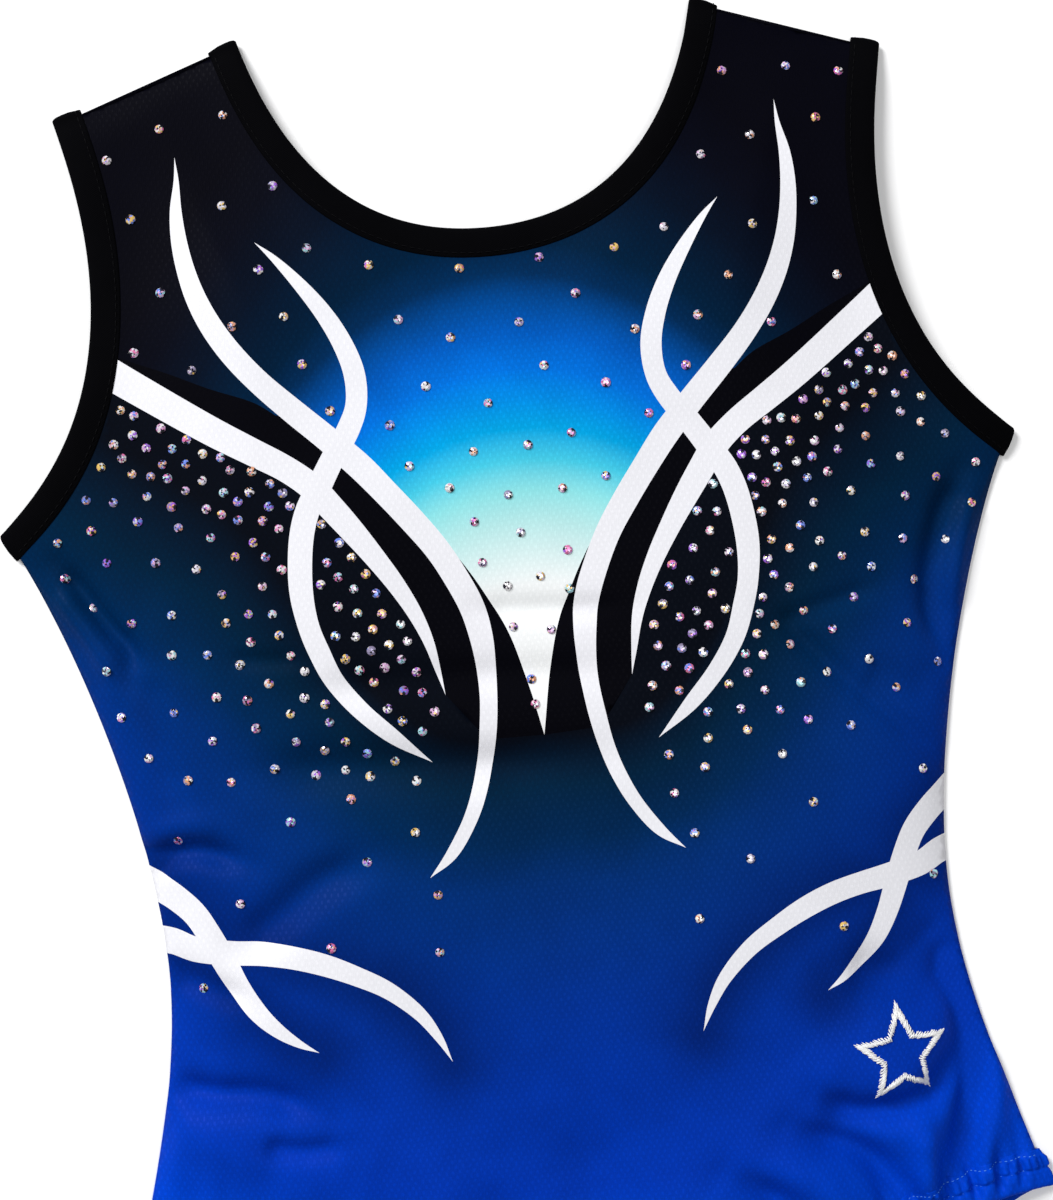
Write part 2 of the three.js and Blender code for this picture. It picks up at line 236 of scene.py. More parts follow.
# Creases of the front: the line each follows, its half width and its depth. A negative depth
# is a ridge.
CREASES = [
    ([(-152, 404), (-144, 390), (-137, 379), (-132, 373), (-133, 362)], 3.4, 3.2),
    ([(-156, 396), (-148, 384), (-141, 371), (-139, 360)], 4, -2.4),
    ([(-128, 366), (-126, 340), (-124, 318)], 5, 1.6),
    ([(-138, 300), (-125, 305), (-115, 304), (-100, 298)], 4.5, 3.4),
    ([(-138, 308), (-122, 313), (-108, 311)], 5, -1.3),
    ([(-108, 271), (-92, 281), (-78, 290), (-58, 297)], 7, 3.4),
    ([(-136, 267), (-120, 260), (-104, 252)], 5, 2.0),
    ([(-138, 228), (-120, 224), (-104, 222), (-84, 213)], 5.5, 4.0),
    ([(-140, 213), (-120, 208), (-98, 202)], 10, -1.8),
    ([(-108, 206), (-92, 203), (-78, 204)], 4, 2.4),
    ([(-100, 328), (-60, 326), (-20, 322), (18, 321)], 8, 3.0),
    ([(-78, 353), (-20, 352), (34, 348)], 6, 1.3),
    ([(-18, 374), (10, 371), (34, 369)], 4, 1.3),
    ([(-100, 366), (-75, 363)], 3, 1.2),
    ([(150, 402), (142, 385), (137, 370), (136, 355), (139, 341)], 5, 4.0),
    ([(154, 396), (147, 375), (143, 353)], 4, -2.2),
    ([(78, 364), (95, 346), (110, 330), (122, 318), (138, 301)], 3.8, 1.8),
    ([(80, 358), (98, 363), (118, 367)], 3.5, 1.2),
    ([(108, 339), (122, 333), (136, 330)], 7, 1.3),
    ([(76, 200), (92, 193), (110, 194), (122, 201), (131, 214)], 5.5, 5.0),
    ([(122, 246), (131, 232), (135, 214), (133, 194), (126, 176), (116, 160)], 6.5, 7.0),
    ([(112, 186), (112, 170), (106, 152)], 5, -2.6),
    ([(140, 214), (140, 194), (134, 172), (130, 156)], 5, -2.6),
    ([(90, 242), (112, 235), (130, 224)], 8, 2.6),
    ([(112, 149), (104, 164), (90, 180), (66, 191)], 5.5, 4.6),
    ([(98, 141), (88, 158), (72, 172), (52, 180)], 6, -1.4),
    ([(86, 128), (76, 148), (62, 166), (44, 178)], 6, 4.4),
    ([(140, 160), (144, 178), (145, 196)], 5, 1.5),
    ([(94, 232), (112, 204), (106, 172)], 30, -2.8),
    ([(-94, 228), (-108, 198), (-100, 168)], 28, -1.8),
    ([(-112, 150), (-102, 168), (-88, 184)], 7, 3.4),
    ([(-90, 134), (-78, 156), (-66, 178)], 8, 1.9),
    ([(-138, 160), (-134, 180), (-130, 200)], 6, 1.6),
    ([(10, 128), (4, 170), (-4, 212)], 16, 2.6),
    ([(-40, 128), (-38, 160), (-30, 190)], 12, 2.4),
]
CREASE_STRENGTH = 1.35
crease_lines = [
    (spline(points, 5), width, CREASE_STRENGTH * depth) for points, width, depth in CREASES]


def back_height(p):
    """The middle of the back panel's cloth. Its bound edges are lifted by their bindings."""
    q = one_side(p)
    bound = away(q, coarse["armhole"], coarse["back_neck"], coarse["back_leg"])
    return 0.32 + 1.1 * np.exp(-((bound / 13) ** 2))


def waves(p):
    """Slow unevenness over the whole of the front."""
    x, h = p[:, 0], p[:, 1]
    return (
        0.42 * np.sin(x / 13 + h / 31 + 0.7)
        + 0.46 * np.sin(x / 23 - h / 17 + 2.1)
        + 0.25 * np.sin(x / 9.5 + h / 44 + 4.0) * smooth((250 - h) / 120)
    )


def front_gap(p):
    """How far the front panel's cloth stands above the back panel's."""
    q = one_side(p)
    x, h = q[:, 0], q[:, 1]
    seam = away(q, coarse["side"], shoulder, crotch)
    bound = away(q, coarse["armhole"], coarse["front_neck"], coarse["front_leg"])
    across = np.minimum(x / half_width(h), 1)
    line = NECK[1] - 21 * np.maximum(x - NECK[0], 0) / 63
    crown = (1 - across**3) * smooth((line - h) / 90) * smooth(h / 110)
    crown = crown * (0.45 + 0.55 * smooth(bound / 60))
    rise = 0.55 + 3.3 * (1 - np.exp(-seam / 7.5))
    room = 2.8 * np.exp(-((bound / 16) ** 2)) * (0.3 + 0.7 * smooth(seam / 9))
    return np.maximum(rise, room) + 10.5 * crown


def gathers(p):
    """Puckers that run up from the elastic of the leg casings."""
    q = one_side(p)
    far, along = nearest(q, coarse["front_leg"])
    shift = np.where(p[:, 0] > 0, 0.0, 1.9)
    phase = along * 2 * np.pi / 8.6 + shift + 1.2 * np.sin(along / 13.0) + far / 9
    groove = (0.5 + 0.5 * np.sin(phase)) ** 2
    short = (0.7 - 3.4 * groove) * np.exp(-np.maximum(far - 12, 0) / (7 + 4 * np.sin(along / 17.0)))
    long = 2.2 * np.exp(-np.maximum(far - 12, 0) / 30) * np.sin(along * 2 * np.pi / 31 + 2 * shift + 0.4)
    ends = smooth(along / 14) * smooth((coarse_leg_length - along) / 30)
    return (short + long * smooth(far / 12)) * ends * smooth(far / 6)


coarse_leg_length = lengths(coarse["front_leg"])[-1]


def front_height(p):
    """The middle of the front panel's cloth."""
    flat = p.reshape(-1, 2)
    lift = np.zeros(len(flat))
    for line, width, depth in crease_lines:
        near = np.abs(flat - line.mean(0)).max(1) < 110
        far, along = nearest(flat[near], line)
        total = lengths(line)[-1]
        fade = smooth(along / (0.2 * total)) * smooth((total - along) / (0.3 * total))
        lift[near] -= depth * np.exp(-((far / width) ** 2)) * (0.25 + 0.75 * fade)
    q = one_side(flat)
    quiet = smooth(away(q, coarse["armhole"], coarse["front_neck"], shoulder) / 14)
    quiet = quiet * smooth(0.25 + away(q, coarse["side"]) / 9)
    ring = np.linalg.norm(flat - STAR_CENTRE, axis=1) - STAR_RADIUS
    lift += waves(flat) - 0.4 * np.exp(-((ring / 3.5) ** 2))
    gap = front_gap(flat)
    lift = lift * (0.12 + 0.88 * quiet) + gathers(flat)
    return back_height(flat) + np.maximum(gap + lift, np.minimum(gap, 1.0))


# ------------------------------------------------------------------ meshes


def place(points):
    """Pattern millimetres, with a height, as metres in the shared frame."""
    return np.asarray(points, float) * MM + (0, CROTCH_Y, 0)


LIGHT_LEVEL = 1.17


def linear(rgb):
    """Colours from 0 to 255, as they look in the studio's light, as a shader's linear colours.
    The light is a little more than white, so that the floor comes out clean."""
    c = np.asarray(rgb, float) / 255
    return np.where(c <= 0.04045, c / 12.92, ((c + 0.055) / 1.055) ** 2.4) / LIGHT_LEVEL


def build(name, points, faces, materials, slot, replaces=(), tints=None, which=None, is_smooth=True):
    """A piece made of points in pattern millimetres. tints is one colour for each face corner."""
    name = f"{name}.cloth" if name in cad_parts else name
    mesh = bpy.data.meshes.new(name)
    mesh.from_pydata(place(points).tolist(), [], [list(map(int, f)) for f in faces])
    if tints is not None:
        layer = mesh.color_attributes.new("Tint", "FLOAT_COLOR", "CORNER")
        rgba = np.column_stack([tints, np.ones(len(tints))]).astype(np.float32)
        layer.data.foreach_set("color", rgba.ravel())
        mesh.color_attributes.active_color = layer
    for m in materials:
        mesh.materials.append(m)
    if which is not None:
        mesh.polygons.foreach_set("material_index", np.asarray(which, np.int32))
    mesh.polygons.foreach_set("use_smooth", np.full(len(faces), is_smooth))
    mesh.update()
    obj = bpy.data.objects.new(name, mesh)
    bpy.context.scene.collection.objects.link(obj)
    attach(obj, "root")
    if replaces:
        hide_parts(*replaces)
    return obj


def vertex_normals(points, triangles):
    a, b, c = (points[triangles[:, k]] for k in range(3))
    n = np.cross(b - a, c - a)
    total = np.zeros_like(points)
    for k in range(3):
        np.add.at(total, triangles[:, k], n)
    return total / np.maximum(np.linalg.norm(total, axis=1), 1e-12)[:, None]


def rim_edges(triangles):
    """The edges that only one triangle has, in that triangle's direction."""
    edges = np.vstack([triangles[:, (0, 1)], triangles[:, (1, 2)], triangles[:, (2, 0)]])
    key = np.sort(edges, axis=1)
    _, first, count = np.unique(key, axis=0, return_index=True, return_counts=True)
    return edges[first[count == 1]]


def thicken(points, triangles, thickness):
    """A closed sheet of cloth round a middle surface: its outside, its inside and its rim."""
    n = vertex_normals(points, triangles) * thickness / 2
    count = len(points)
    rim = rim_edges(triangles)
    rims = np.vstack([
        np.column_stack([rim[:, 1], rim[:, 0], rim[:, 0] + count]),
        np.column_stack([rim[:, 1], rim[:, 0] + count, rim[:, 1] + count]),
    ])
    faces = np.vstack([triangles, triangles[:, ::-1] + count, rims])
    which = np.concatenate([np.zeros(len(triangles)), np.ones(len(triangles)), np.zeros(len(rims))])
    return np.vstack([points + n, points - n]), faces, which


SLIVER = 1e-4
CLEAR_OF_LINES = 0.55


def facing_up(flat, tris):
    """Triangles turned to face up, with twice each one's area."""
    a, b, c = (flat[tris[:, k]] for k in range(3))
    area = (b[:, 0] - a[:, 0]) * (c[:, 1] - a[:, 1]) - (b[:, 1] - a[:, 1]) * (c[:, 0] - a[:, 0])
    tris[area < 0] = tris[area < 0][:, ::-1]
    return tris, np.abs(area)


def triangulated(border, lines, step):
    """Triangles over a border, whose edges follow the lines inside it."""
    points, edges = [], []
    for line in [border, *lines]:
        first = len(points)
        points += [tuple(p) for p in line]
        edges += [(first + k, first + (k + 1) % len(line)) for k in range(len(line))]
    tree = KDTree(len(points))
    for k, (x, y) in enumerate(points):
        tree.insert((x, y, 0), k)
    tree.balance()
    low, high = border.min(0), border.max(0)
    rows = []
    for k, h in enumerate(np.arange(low[1], high[1], step * math.sqrt(0.75))):
        x = np.arange(low[0] + (k % 2) * step / 2, high[0], step)
        rows.append(np.column_stack([x, np.full(len(x), h)]))
    grid = np.vstack(rows)
    grid = grid[inside(grid, border)]
    clear = [tree.find((x, y, 0))[2] > CLEAR_OF_LINES * step for x, y in grid]
    points += [tuple(p) for p in grid[clear]]
    found, _, faces, *_ = delaunay_2d_cdt([Vector(p) for p in points], edges, [], 0, 1e-4, False)
    flat = np.array([tuple(v) for v in found])
    tris = np.array([f for f in faces if len(f) == 3])
    kept = inside(flat[tris].sum(1) / 3, border)
    tris, area = facing_up(flat, tris)
    tris = tris[(area > SLIVER) & kept]
    used = np.unique(tris)
    number = np.zeros(len(flat), int)
    number[used] = np.arange(len(used))
    return flat[used], number[tris]


def swept(rings, closed_path):
    """Quads between rings of points: (rings, points round each, 3)."""
    count, around = rings.shape[:2]
    k = np.arange(count if closed_path else count - 1)[:, None]
    j = np.arange(around)[None, :]
    nk, nj = (k + 1) % count, (j + 1) % around
    quads = np.stack([k * around + j, nk * around + j, nk * around + nj, k * around + nj], axis=-1)
    faces = [tuple(q) for q in quads.reshape(-1, 4)]
    if not closed_path:
        faces += [tuple(range(around))[::-1], tuple((count - 1) * around + n for n in range(around))]
    return rings.reshape(-1, 3), faces


def joined(parts):
    """Several (points, faces) as one."""
    points, faces, first = [], [], 0
    for p, f in parts:
        points.append(p)
        faces += [tuple(first + n for n in face) for face in f]
        first += len(p)
    return np.vstack(points), faces


def strand(line, up, across, high, sides=6, taper=0.55):
    """A thread along a line of points: half as wide as across, half as high as high."""
    d = np.gradient(line, axis=0)
    d /= np.maximum(np.linalg.norm(d, axis=1), 1e-9)[:, None]
    wide = np.cross(d, up)
    wide /= np.maximum(np.linalg.norm(wide, axis=1), 1e-9)[:, None]
    tall = np.cross(wide, d)
    size = np.ones(len(line))
    size[0] = size[-1] = taper
    angle = np.arange(sides) * 2 * np.pi / sides
    rings = (
        line[:, None]
        + wide[:, None] * (np.cos(angle)[None, :, None] * across / 2 * size[:, None, None])
        + tall[:, None] * (np.sin(angle)[None, :, None] * high / 2 * size[:, None, None])
    )
    return swept(rings, False)

# ------------------------------------------------------------------ print

# Each ribbon of the print: x, height above the print's zero line, and width.
OUTER_RIBBON = [
    (100.4, 158, 0), (100.6, 150, 1.7), (101.7, 140, 3.9), (101.6, 130, 5.2), (100.3, 120, 6),
    (97.8, 110, 6.8), (93.7, 100, 7.4), (87.8, 90, 7.7), (80, 80, 7.8), (70.5, 70, 8.2), (60.5, 60, 8.4),
    (51, 50, 8.8), (43, 40, 8.5), (35.4, 30, 8.5), (28.5, 20, 8.3), (23.3, 10, 8.3), (19.2, 0, 8.3),
    (17.2, -10, 7.7), (16.6, -20, 6.5), (16.9, -30, 5.8), (18.1, -40, 5.7), (20, -50, 5.2), (23, -60, 5),
    (27.6, -70, 4.6), (34.5, -80, 3.8), (42.4, -87, 0),
]
INNER_RIBBON = [
    (77, 126.5, 0), (70.8, 120, 2.4), (63, 110, 4.6), (56.5, 100, 5.9), (51.8, 90, 6.6), (49.1, 80, 7),
    (49.5, 70, 7), (53, 62, 7.5), (59.3, 52.7, 7.7), (64.8, 43.8, 8), (69.5, 36, 8), (72.5, 26, 8),
    (74, 12, 7.8), (73, 0, 7), (70.2, -10, 7), (66.2, -20, 6.4), (59, -30, 5.9), (49, -40, 4.8),
    (37.5, -49.7, 0),
]
ARMHOLE_BAND = [
    (126.2, 87, 10.3), (116, 79.5, 10), (105, 71.5, 9.7), (95, 64.5, 9.4), (85, 58, 9), (75, 51.5, 8.6),
    (67, 44.6, 8.7), (60.8, 36.4, 8.6), (55.2, 28.6, 8), (49.4, 20, 7), (43.2, 10, 6), (38.1, 0, 4.9),
    (34.5, -10, 3.5), (32.4, -20, 1.8), (30.9, -28, 0),
]
LONG_SWOOSH = [
    (140, -98, 9.2), (130, -99.5, 9), (122, -102.8, 8.5), (110, -105, 8), (100, -106.3, 7.4),
    (90, -108.3, 7.4), (80, -111.7, 7.2), (70, -116.5, 6.4), (60, -122.5, 5.6), (51, -131, 4.5),
    (45.5, -139.5, 2.8), (41.7, -148, 0),
]
SHORT_SWOOSH = [
    (139, -77, 10), (132, -81.5, 9.5), (126.5, -85.5, 9), (121, -91, 8.5), (117, -98, 8.3),
    (113, -107, 8.3), (108.7, -116.5, 7.5), (103.5, -125, 6.4), (97.5, -131.5, 4.8), (91, -136.5, 2.6),
    (84.8, -140, 0),
]
UPPER_BAR_TOP = [(132, 97), (124, 93), (110, 86.7), (96.7, 80), (83.3, 74.2), (76, 69)]
POINT_EDGE = [(25.5, 21.5), (20.3, 14), (14.6, 4), (8, -10), (3.5, -27), (0, -44.6)]
HEART_EDGE = [
    (132, 68), (114, 53), (99, 41), (87, 28), (77, 11), (66, -8), (51, -28), (36, -40), (20, -45),
    (0, -44),
]

# The print's colours on a screen: (place, red, green, blue).
CHEST_COLOURS = [
    (-60, 247, 247, 248), (5, 246, 249, 250), (16, 215, 241, 241), (26, 185, 235, 235),
    (36, 145, 230, 234), (46, 70, 205, 232), (56, 1, 165, 226), (66, 0, 140, 228), (76, 0, 111, 217),
    (88, 0, 88, 185), (98, 0, 70, 145), (108, 0, 42, 85), (120, 0, 30, 58), (150, 5, 16, 34),
    (175, 6, 8, 21), (200, 5, 5, 14),
]
SIDE_COLOURS = [
    (0, 6, 10, 20), (17, 1, 33, 60), (35, 0, 40, 85), (50, 1, 46, 115), (70, 1, 47, 130),
    (90, 1, 48, 145), (115, 1, 50, 160), (150, 2, 53, 175), (175, 0, 62, 195), (330, 0, 66, 205),
]
BACK_COLOURS = [
    (0, 0, 64, 200), (120, 2, 56, 182), (210, 1, 50, 158), (290, 1, 46, 128), (370, 0, 40, 92),
    (440, 1, 31, 60), (520, 5, 12, 26), (569, 4, 4, 12),
]
RIBBON_WHITE = (240, 240, 246)
BAR_BLACK = (4, 4, 10)
HALO = (1, 22, 78)


def ribbon(rows):
    """A ribbon's centre line and its outline, in pattern millimetres."""
    line = spline([(x, y + PRINT_ZERO, w) for x, y, w in rows], 1.4)
    normal = right_hand(directions(line))
    half = np.maximum(line[:, 2:], 0.05) / 2
    edge = np.vstack([line[:, :2] + normal * half, (line[:, :2] - normal * half)[::-1]])
    return line[:, :2], edge


def print_line(rows):
    return spline([(x, y + PRINT_ZERO) for x, y in rows], 1.4)


def tinted(at, table):
    """Linear colours read from a table of places and screen colours."""
    rows = np.array(sorted(table), float)
    colours = linear(rows[:, 1:])
    return np.column_stack([np.interp(at, rows[:, 0], colours[:, k]) for k in range(3)])


outer_line, outer_edge = ribbon(OUTER_RIBBON)
inner_line, inner_edge = ribbon(INNER_RIBBON)
band_line, band_edge = ribbon([(134, 93, 10.4), *ARMHOLE_BAND])
long_line, long_edge = ribbon(LONG_SWOOSH)
short_line, short_edge = ribbon(SHORT_SWOOSH)
white_shapes = [outer_edge, inner_edge, band_edge, long_edge, short_edge]
bar_top = print_line(UPPER_BAR_TOP)
point_edge = print_line(POINT_EDGE)
heart_edge = print_line(HEART_EDGE)


def between_heights(line, top, bottom):
    h = line[:, 1] - PRINT_ZERO
    return line[(h <= top) & (h >= bottom)]


# The black bar above the armhole band, and the black that runs on between the ribbons to the
# point of the chest.
upper_bar = np.vstack([
    bar_top,
    between_heights(outer_line, 68, 52),
    between_heights(band_line, 200, 44)[::-1],
])
lower_bar = np.vstack([
    between_heights(outer_line, 58, -44),
    between_heights(band_line, 44, -40)[::-1],
])
crescent = np.vstack([point_edge, between_heights(outer_line, 21, -44)[::-1]])
# The chest: everything above the bars and between the point's edges.
chest_side = np.vstack([bar_top, between_heights(outer_line, 66, 22), point_edge])
chest_area = np.vstack([
    chest_side, (chest_side * (-1, 1))[::-1], [(-300, 480), (-300, 700), (300, 700), (300, 480)]])
lens_area = np.vstack([
    between_heights(inner_line, 46, -50), between_heights(band_line, 44, -30)[::-1]])


def side_tint(p):
    """The colour of the front away from the chest: dark round the heart shape, blue beyond."""
    q = one_side(p)
    y = q[:, 1] - PRINT_ZERO
    far = nearest(q, heart_edge)[0] * (0.55 + 0.45 * smooth((40 - y) / 80))
    heart = np.vstack([heart_edge, [(0, PRINT_ZERO + 90), (132, PRINT_ZERO + 90)]])
    far = np.where(inside(q, heart), 0, far)
    colour = tinted(far, SIDE_COLOURS)
    glow = 0.62 * np.exp(-((away(q, long_line, short_line) / 13) ** 2))[:, None]
    return colour * (1 - glow) + linear(HALO) * glow


def front_tints(p, triangles):
    """One colour for each corner of the front panel's triangles."""
    y = p[:, 1] - PRINT_ZERO
    chest = tinted(y + 0.0065 * p[:, 0] ** 2, CHEST_COLOURS)
    rest = side_tint(p)
    middle = p[triangles].mean(1)
    q = one_side(middle)
    colours = np.where(inside(middle, chest_area)[:, None, None], chest[triangles], rest[triangles])
    for shape in (upper_bar, lower_bar, crescent):
        colours[inside(q, shape)] = linear(BAR_BLACK)
    for shape in white_shapes:
        colours[inside(q, shape)] = linear(RIBBON_WHITE)
    return colours


def casing_tint(p, is_back):
    return tinted(p[:, 1], BACK_COLOURS) if is_back else side_tint(p)


# ------------------------------------------------------------------ materials


class Shader:
    """A material's nodes, made and joined in a few words."""

    def __init__(self, name, roughness, specular, sheen=0.0, metallic=0.0, sheen_roughness=0.5):
        self.material = bpy.data.materials.new(name)
        self.material.use_nodes = True
        self.tree = self.material.node_tree
        self.surface = self.tree.nodes["Principled BSDF"]
        self.surface.inputs["Roughness"].default_value = roughness
        self.surface.inputs["Specular IOR Level"].default_value = specular
        self.surface.inputs["Sheen Weight"].default_value = sheen
        self.surface.inputs["Sheen Roughness"].default_value = sheen_roughness
        self.surface.inputs["Metallic"].default_value = metallic
        where = self.tree.nodes.new("ShaderNodeTexCoord").outputs["Object"]
        self.where = self.vector("MULTIPLY", where, (1000, 1000, 1000))

    def node(self, kind, settings=(), **inputs):
        made = self.tree.nodes.new(kind)
        for key, value in dict(settings).items():
            setattr(made, key, value)
        for key, value in inputs.items():
            self.feed(made.inputs[key.replace("_", " ")], value)
        return made

    def feed(self, socket, value):
        if isinstance(value, bpy.types.NodeSocket):
            self.tree.links.new(value, socket)
        else:
            socket.default_value = value

    def math(self, operation, a, b=0.0):
        made = self.tree.nodes.new("ShaderNodeMath")
        made.operation = operation
        self.feed(made.inputs[0], a)
        self.feed(made.inputs[1], b)
        return made.outputs[0]

    def vector(self, operation, a, b):
        made = self.tree.nodes.new("ShaderNodeVectorMath")
        made.operation = operation
        self.feed(made.inputs[0], a)
        self.feed(made.inputs[1], b)
        return made.outputs[0]

    def add(self, *terms):
        total = terms[0]
        for term in terms[1:]:
            total = self.math("ADD", total, term)
        return total

    def times(self, a, b):
        return self.math("MULTIPLY", a, b)

    def wave(self, value, pitch):
        """A sine from -1 to 1 that repeats at a pitch in millimetres."""
        return self.math("SINE", self.times(value, 2 * math.pi / pitch))

    def noise(self, scale, detail=2.0, output="Fac"):
        """Noise with features about 1 / scale millimetres across, from 0 to 1."""
        made = self.node("ShaderNodeTexNoise", Vector=self.where, Scale=scale, Detail=detail)
        return made.outputs[output]

    def cloud(self, scale, detail, low, high):
        """Slow noise between two amounts."""
        return self.ranged(self.noise(scale, detail), 0.3, 0.7, low, high)

    def ranged(self, value, low, high, to_low=0.0, to_high=1.0):
        made = self.node("ShaderNodeMapRange", {"interpolation_type": "SMOOTHSTEP"}, Value=value)
        ends = {"From Min": low, "From Max": high, "To Min": to_low, "To Max": to_high}
        for key, number in ends.items():
            made.inputs[key].default_value = number
        return made.outputs["Result"]

    def scaled(self, colour, factor):
        """A colour made lighter or darker by a factor."""
        made = self.tree.nodes.new("ShaderNodeVectorMath")
        made.operation = "SCALE"
        self.feed(made.inputs[0], colour)
        self.feed(made.inputs["Scale"], factor)
        return made.outputs[0]

    def axes(self, where=None):
        """Where a point is along x, y and z, in millimetres."""
        return self.node("ShaderNodeSeparateXYZ", Vector=where or self.where).outputs

    def tint(self):
        return self.node("ShaderNodeVertexColor", {"layer_name": "Tint"}).outputs["Color"]

    def colour(self, value, factor):
        """The surface's colour: a colour made lighter or darker by a factor."""
        self.feed(self.surface.inputs["Base Color"], self.scaled(value, factor))

    def rough(self, value):
        self.feed(self.surface.inputs["Roughness"], value)

    def bump(self, height, strength, distance_mm):
        made = self.node("ShaderNodeBump", Height=height, Strength=strength, Distance=distance_mm * MM)
        self.feed(self.surface.inputs["Normal"], made.outputs["Normal"])


KNIT_COLUMN, KNIT_ROW, KNIT_RIB = 2.3, 3.5, 0.575


def knit(s):
    """A warp knit: short upright loops in staggered columns, with fine ribs between. From 0 to 1."""
    drift = s.vector("SUBTRACT", s.noise(0.35, 1.0, "Color"), (0.5, 0.5, 0.5))
    x, y, _ = s.axes(s.vector("ADD", s.where, s.scaled(drift, 1.3)))
    loops = s.ranged(s.times(s.wave(x, KNIT_COLUMN), s.wave(y, KNIT_ROW)), 0.1, 0.9)
    return loops, s.wave(x, KNIT_RIB)


def printed_cloth(name, contrast=0.16):
    """The cloth's printed side. The knit shows more on its dark colours than on the white."""
    s = Shader(name, roughness=0.5, specular=0.02)
    loops, rib = knit(s)
    mottle, fleck = s.cloud(0.06, 3.0, -0.05, 0.05), s.cloud(1.6, 2.0, -0.05, 0.05)
    green = s.node("ShaderNodeSeparateColor", Color=s.tint()).outputs["Green"]
    strength = s.ranged(green, 0.0, 0.8, 1.0, 0.3)
    relief = s.times(s.math("SUBTRACT", loops, 0.16), contrast)
    relief = s.add(s.add(relief, s.times(rib, 0.03)), s.add(mottle, fleck))
    s.colour(s.tint(), s.add(s.times(relief, strength), 1.0))
    s.rough(s.ranged(loops, 0, 1, 0.56, 0.42))
    s.bump(s.add(loops, s.times(rib, 0.3)), 0.15, 0.1)
    return s.material


def inner_cloth(name):
    """The unprinted inside of the cloth, with the print showing through a little."""
    s = Shader(name, roughness=0.75, specular=0.15, sheen=0.1)
    loops, rib = knit(s)
    through = s.node("ShaderNodeMix", {"data_type": "RGBA"})
    through.inputs["Factor"].default_value = 0.22
    s.feed(through.inputs[6], (0.62, 0.66, 0.74, 1))
    s.feed(through.inputs[7], s.tint())
    s.colour(through.outputs[2], s.add(s.times(loops, 0.14), 0.9))
    s.bump(s.add(loops, s.times(rib, 0.3)), 0.4, 0.16)
    return s.material


def plain_cloth(name, rgb, roughness, specular, pitch, sheen=0.0, contrast=0.25):
    """A plain knit of one colour, with ribs at a pitch in millimetres and a little lint."""
    s = Shader(name, roughness=roughness, specular=specular, sheen=sheen)
    x, y, z = s.axes()
    across = s.wave(s.add(x, s.times(z, 0.7)), pitch)
    down = s.wave(s.math("SUBTRACT", y, s.times(z, 0.7)), pitch * 0.8)
    weave = s.ranged(s.times(across, down), -0.8, 0.8)
    lint = s.ranged(s.noise(0.9, 4.0), 0.62, 0.8, 0.0, 0.6)
    shade = s.add(s.times(weave, contrast), 1 - contrast / 2, lint, s.cloud(0.05, 2.0, -0.1, 0.1))
    s.colour((*linear(rgb),), shade)
    s.rough(s.ranged(weave, 0, 1, min(1, roughness + 0.08), roughness - 0.05))
    s.bump(weave, 0.4, 0.12)
    return s.material


def thread(name, rgb, roughness=0.45, specular=0.3, sheen=0.2, pitch=0.9):
    """Twisted yarn: fine slanting plies over its colour."""
    s = Shader(name, roughness=roughness, specular=specular, sheen=sheen)
    x, y, z = s.axes()
    ply = s.ranged(s.wave(s.add(x, y, s.times(z, 1.7)), pitch), -1, 1)
    s.colour((*linear(rgb),), s.add(s.times(ply, 0.24), s.add(s.cloud(0.4, 2.0, -0.08, 0.08), 0.86)))
    s.rough(s.ranged(ply, 0, 1, roughness + 0.1, roughness - 0.05))
    s.bump(ply, 0.5, 0.08)
    return s.material


def crystal_glass(name):
    """Coated glass: each facet keeps a painted colour (a coating tint, a painted glint or painted shade),
    with a mirror's gloss and tiny scratches.
    """
    s = Shader(name, roughness=0.12, specular=0.6, metallic=0.3)
    s.colour(s.tint(), s.ranged(s.noise(0.8, 1.0), 0.2, 0.8, 0.85, 1.1))
    s.rough(s.ranged(s.noise(2.5, 3.0), 0.35, 0.7, 0.08, 0.2))
    s.bump(s.noise(3.0, 2.0), 0.08, 0.02)
    return s.material


def satin_label(name):
    """Woven satin, for the blank label."""
    s = Shader(name, roughness=0.4, specular=0.35, sheen=0.2)
    x, y, _ = s.axes()
    across = s.math("SINE", s.times(x, 14))
    down = s.math("SINE", s.times(s.add(y, s.times(x, 0.4)), 9))
    weave = s.ranged(s.times(across, down), -0.8, 0.8)
    # fold is painted shade: a slow noise that darkens the satin in soft patches, as the shade of slight
    # folds.
    fold = s.cloud(0.1, 1.0, -0.06, 0.04)
    s.colour((*linear((240, 240, 236)),), s.add(s.times(weave, 0.1), s.add(fold, 0.92)))
    s.bump(weave, 0.3, 0.08)
    return s.material


def felted(name, rgb):
    """A pressed web of fibres, for the stabiliser behind the star."""
    s = Shader(name, roughness=0.9, specular=0.1, sheen=0.2)
    fibres = s.node("ShaderNodeTexVoronoi", {"feature": "DISTANCE_TO_EDGE"}, Vector=s.where, Scale=0.8)
    web = s.ranged(fibres.outputs["Distance"], 0.0, 0.25)
    s.colour((*linear(rgb),), s.add(s.times(web, 0.2), 0.8))
    s.bump(s.add(web, s.noise(3.0, 4.0)), 0.5, 0.15)
    return s.material


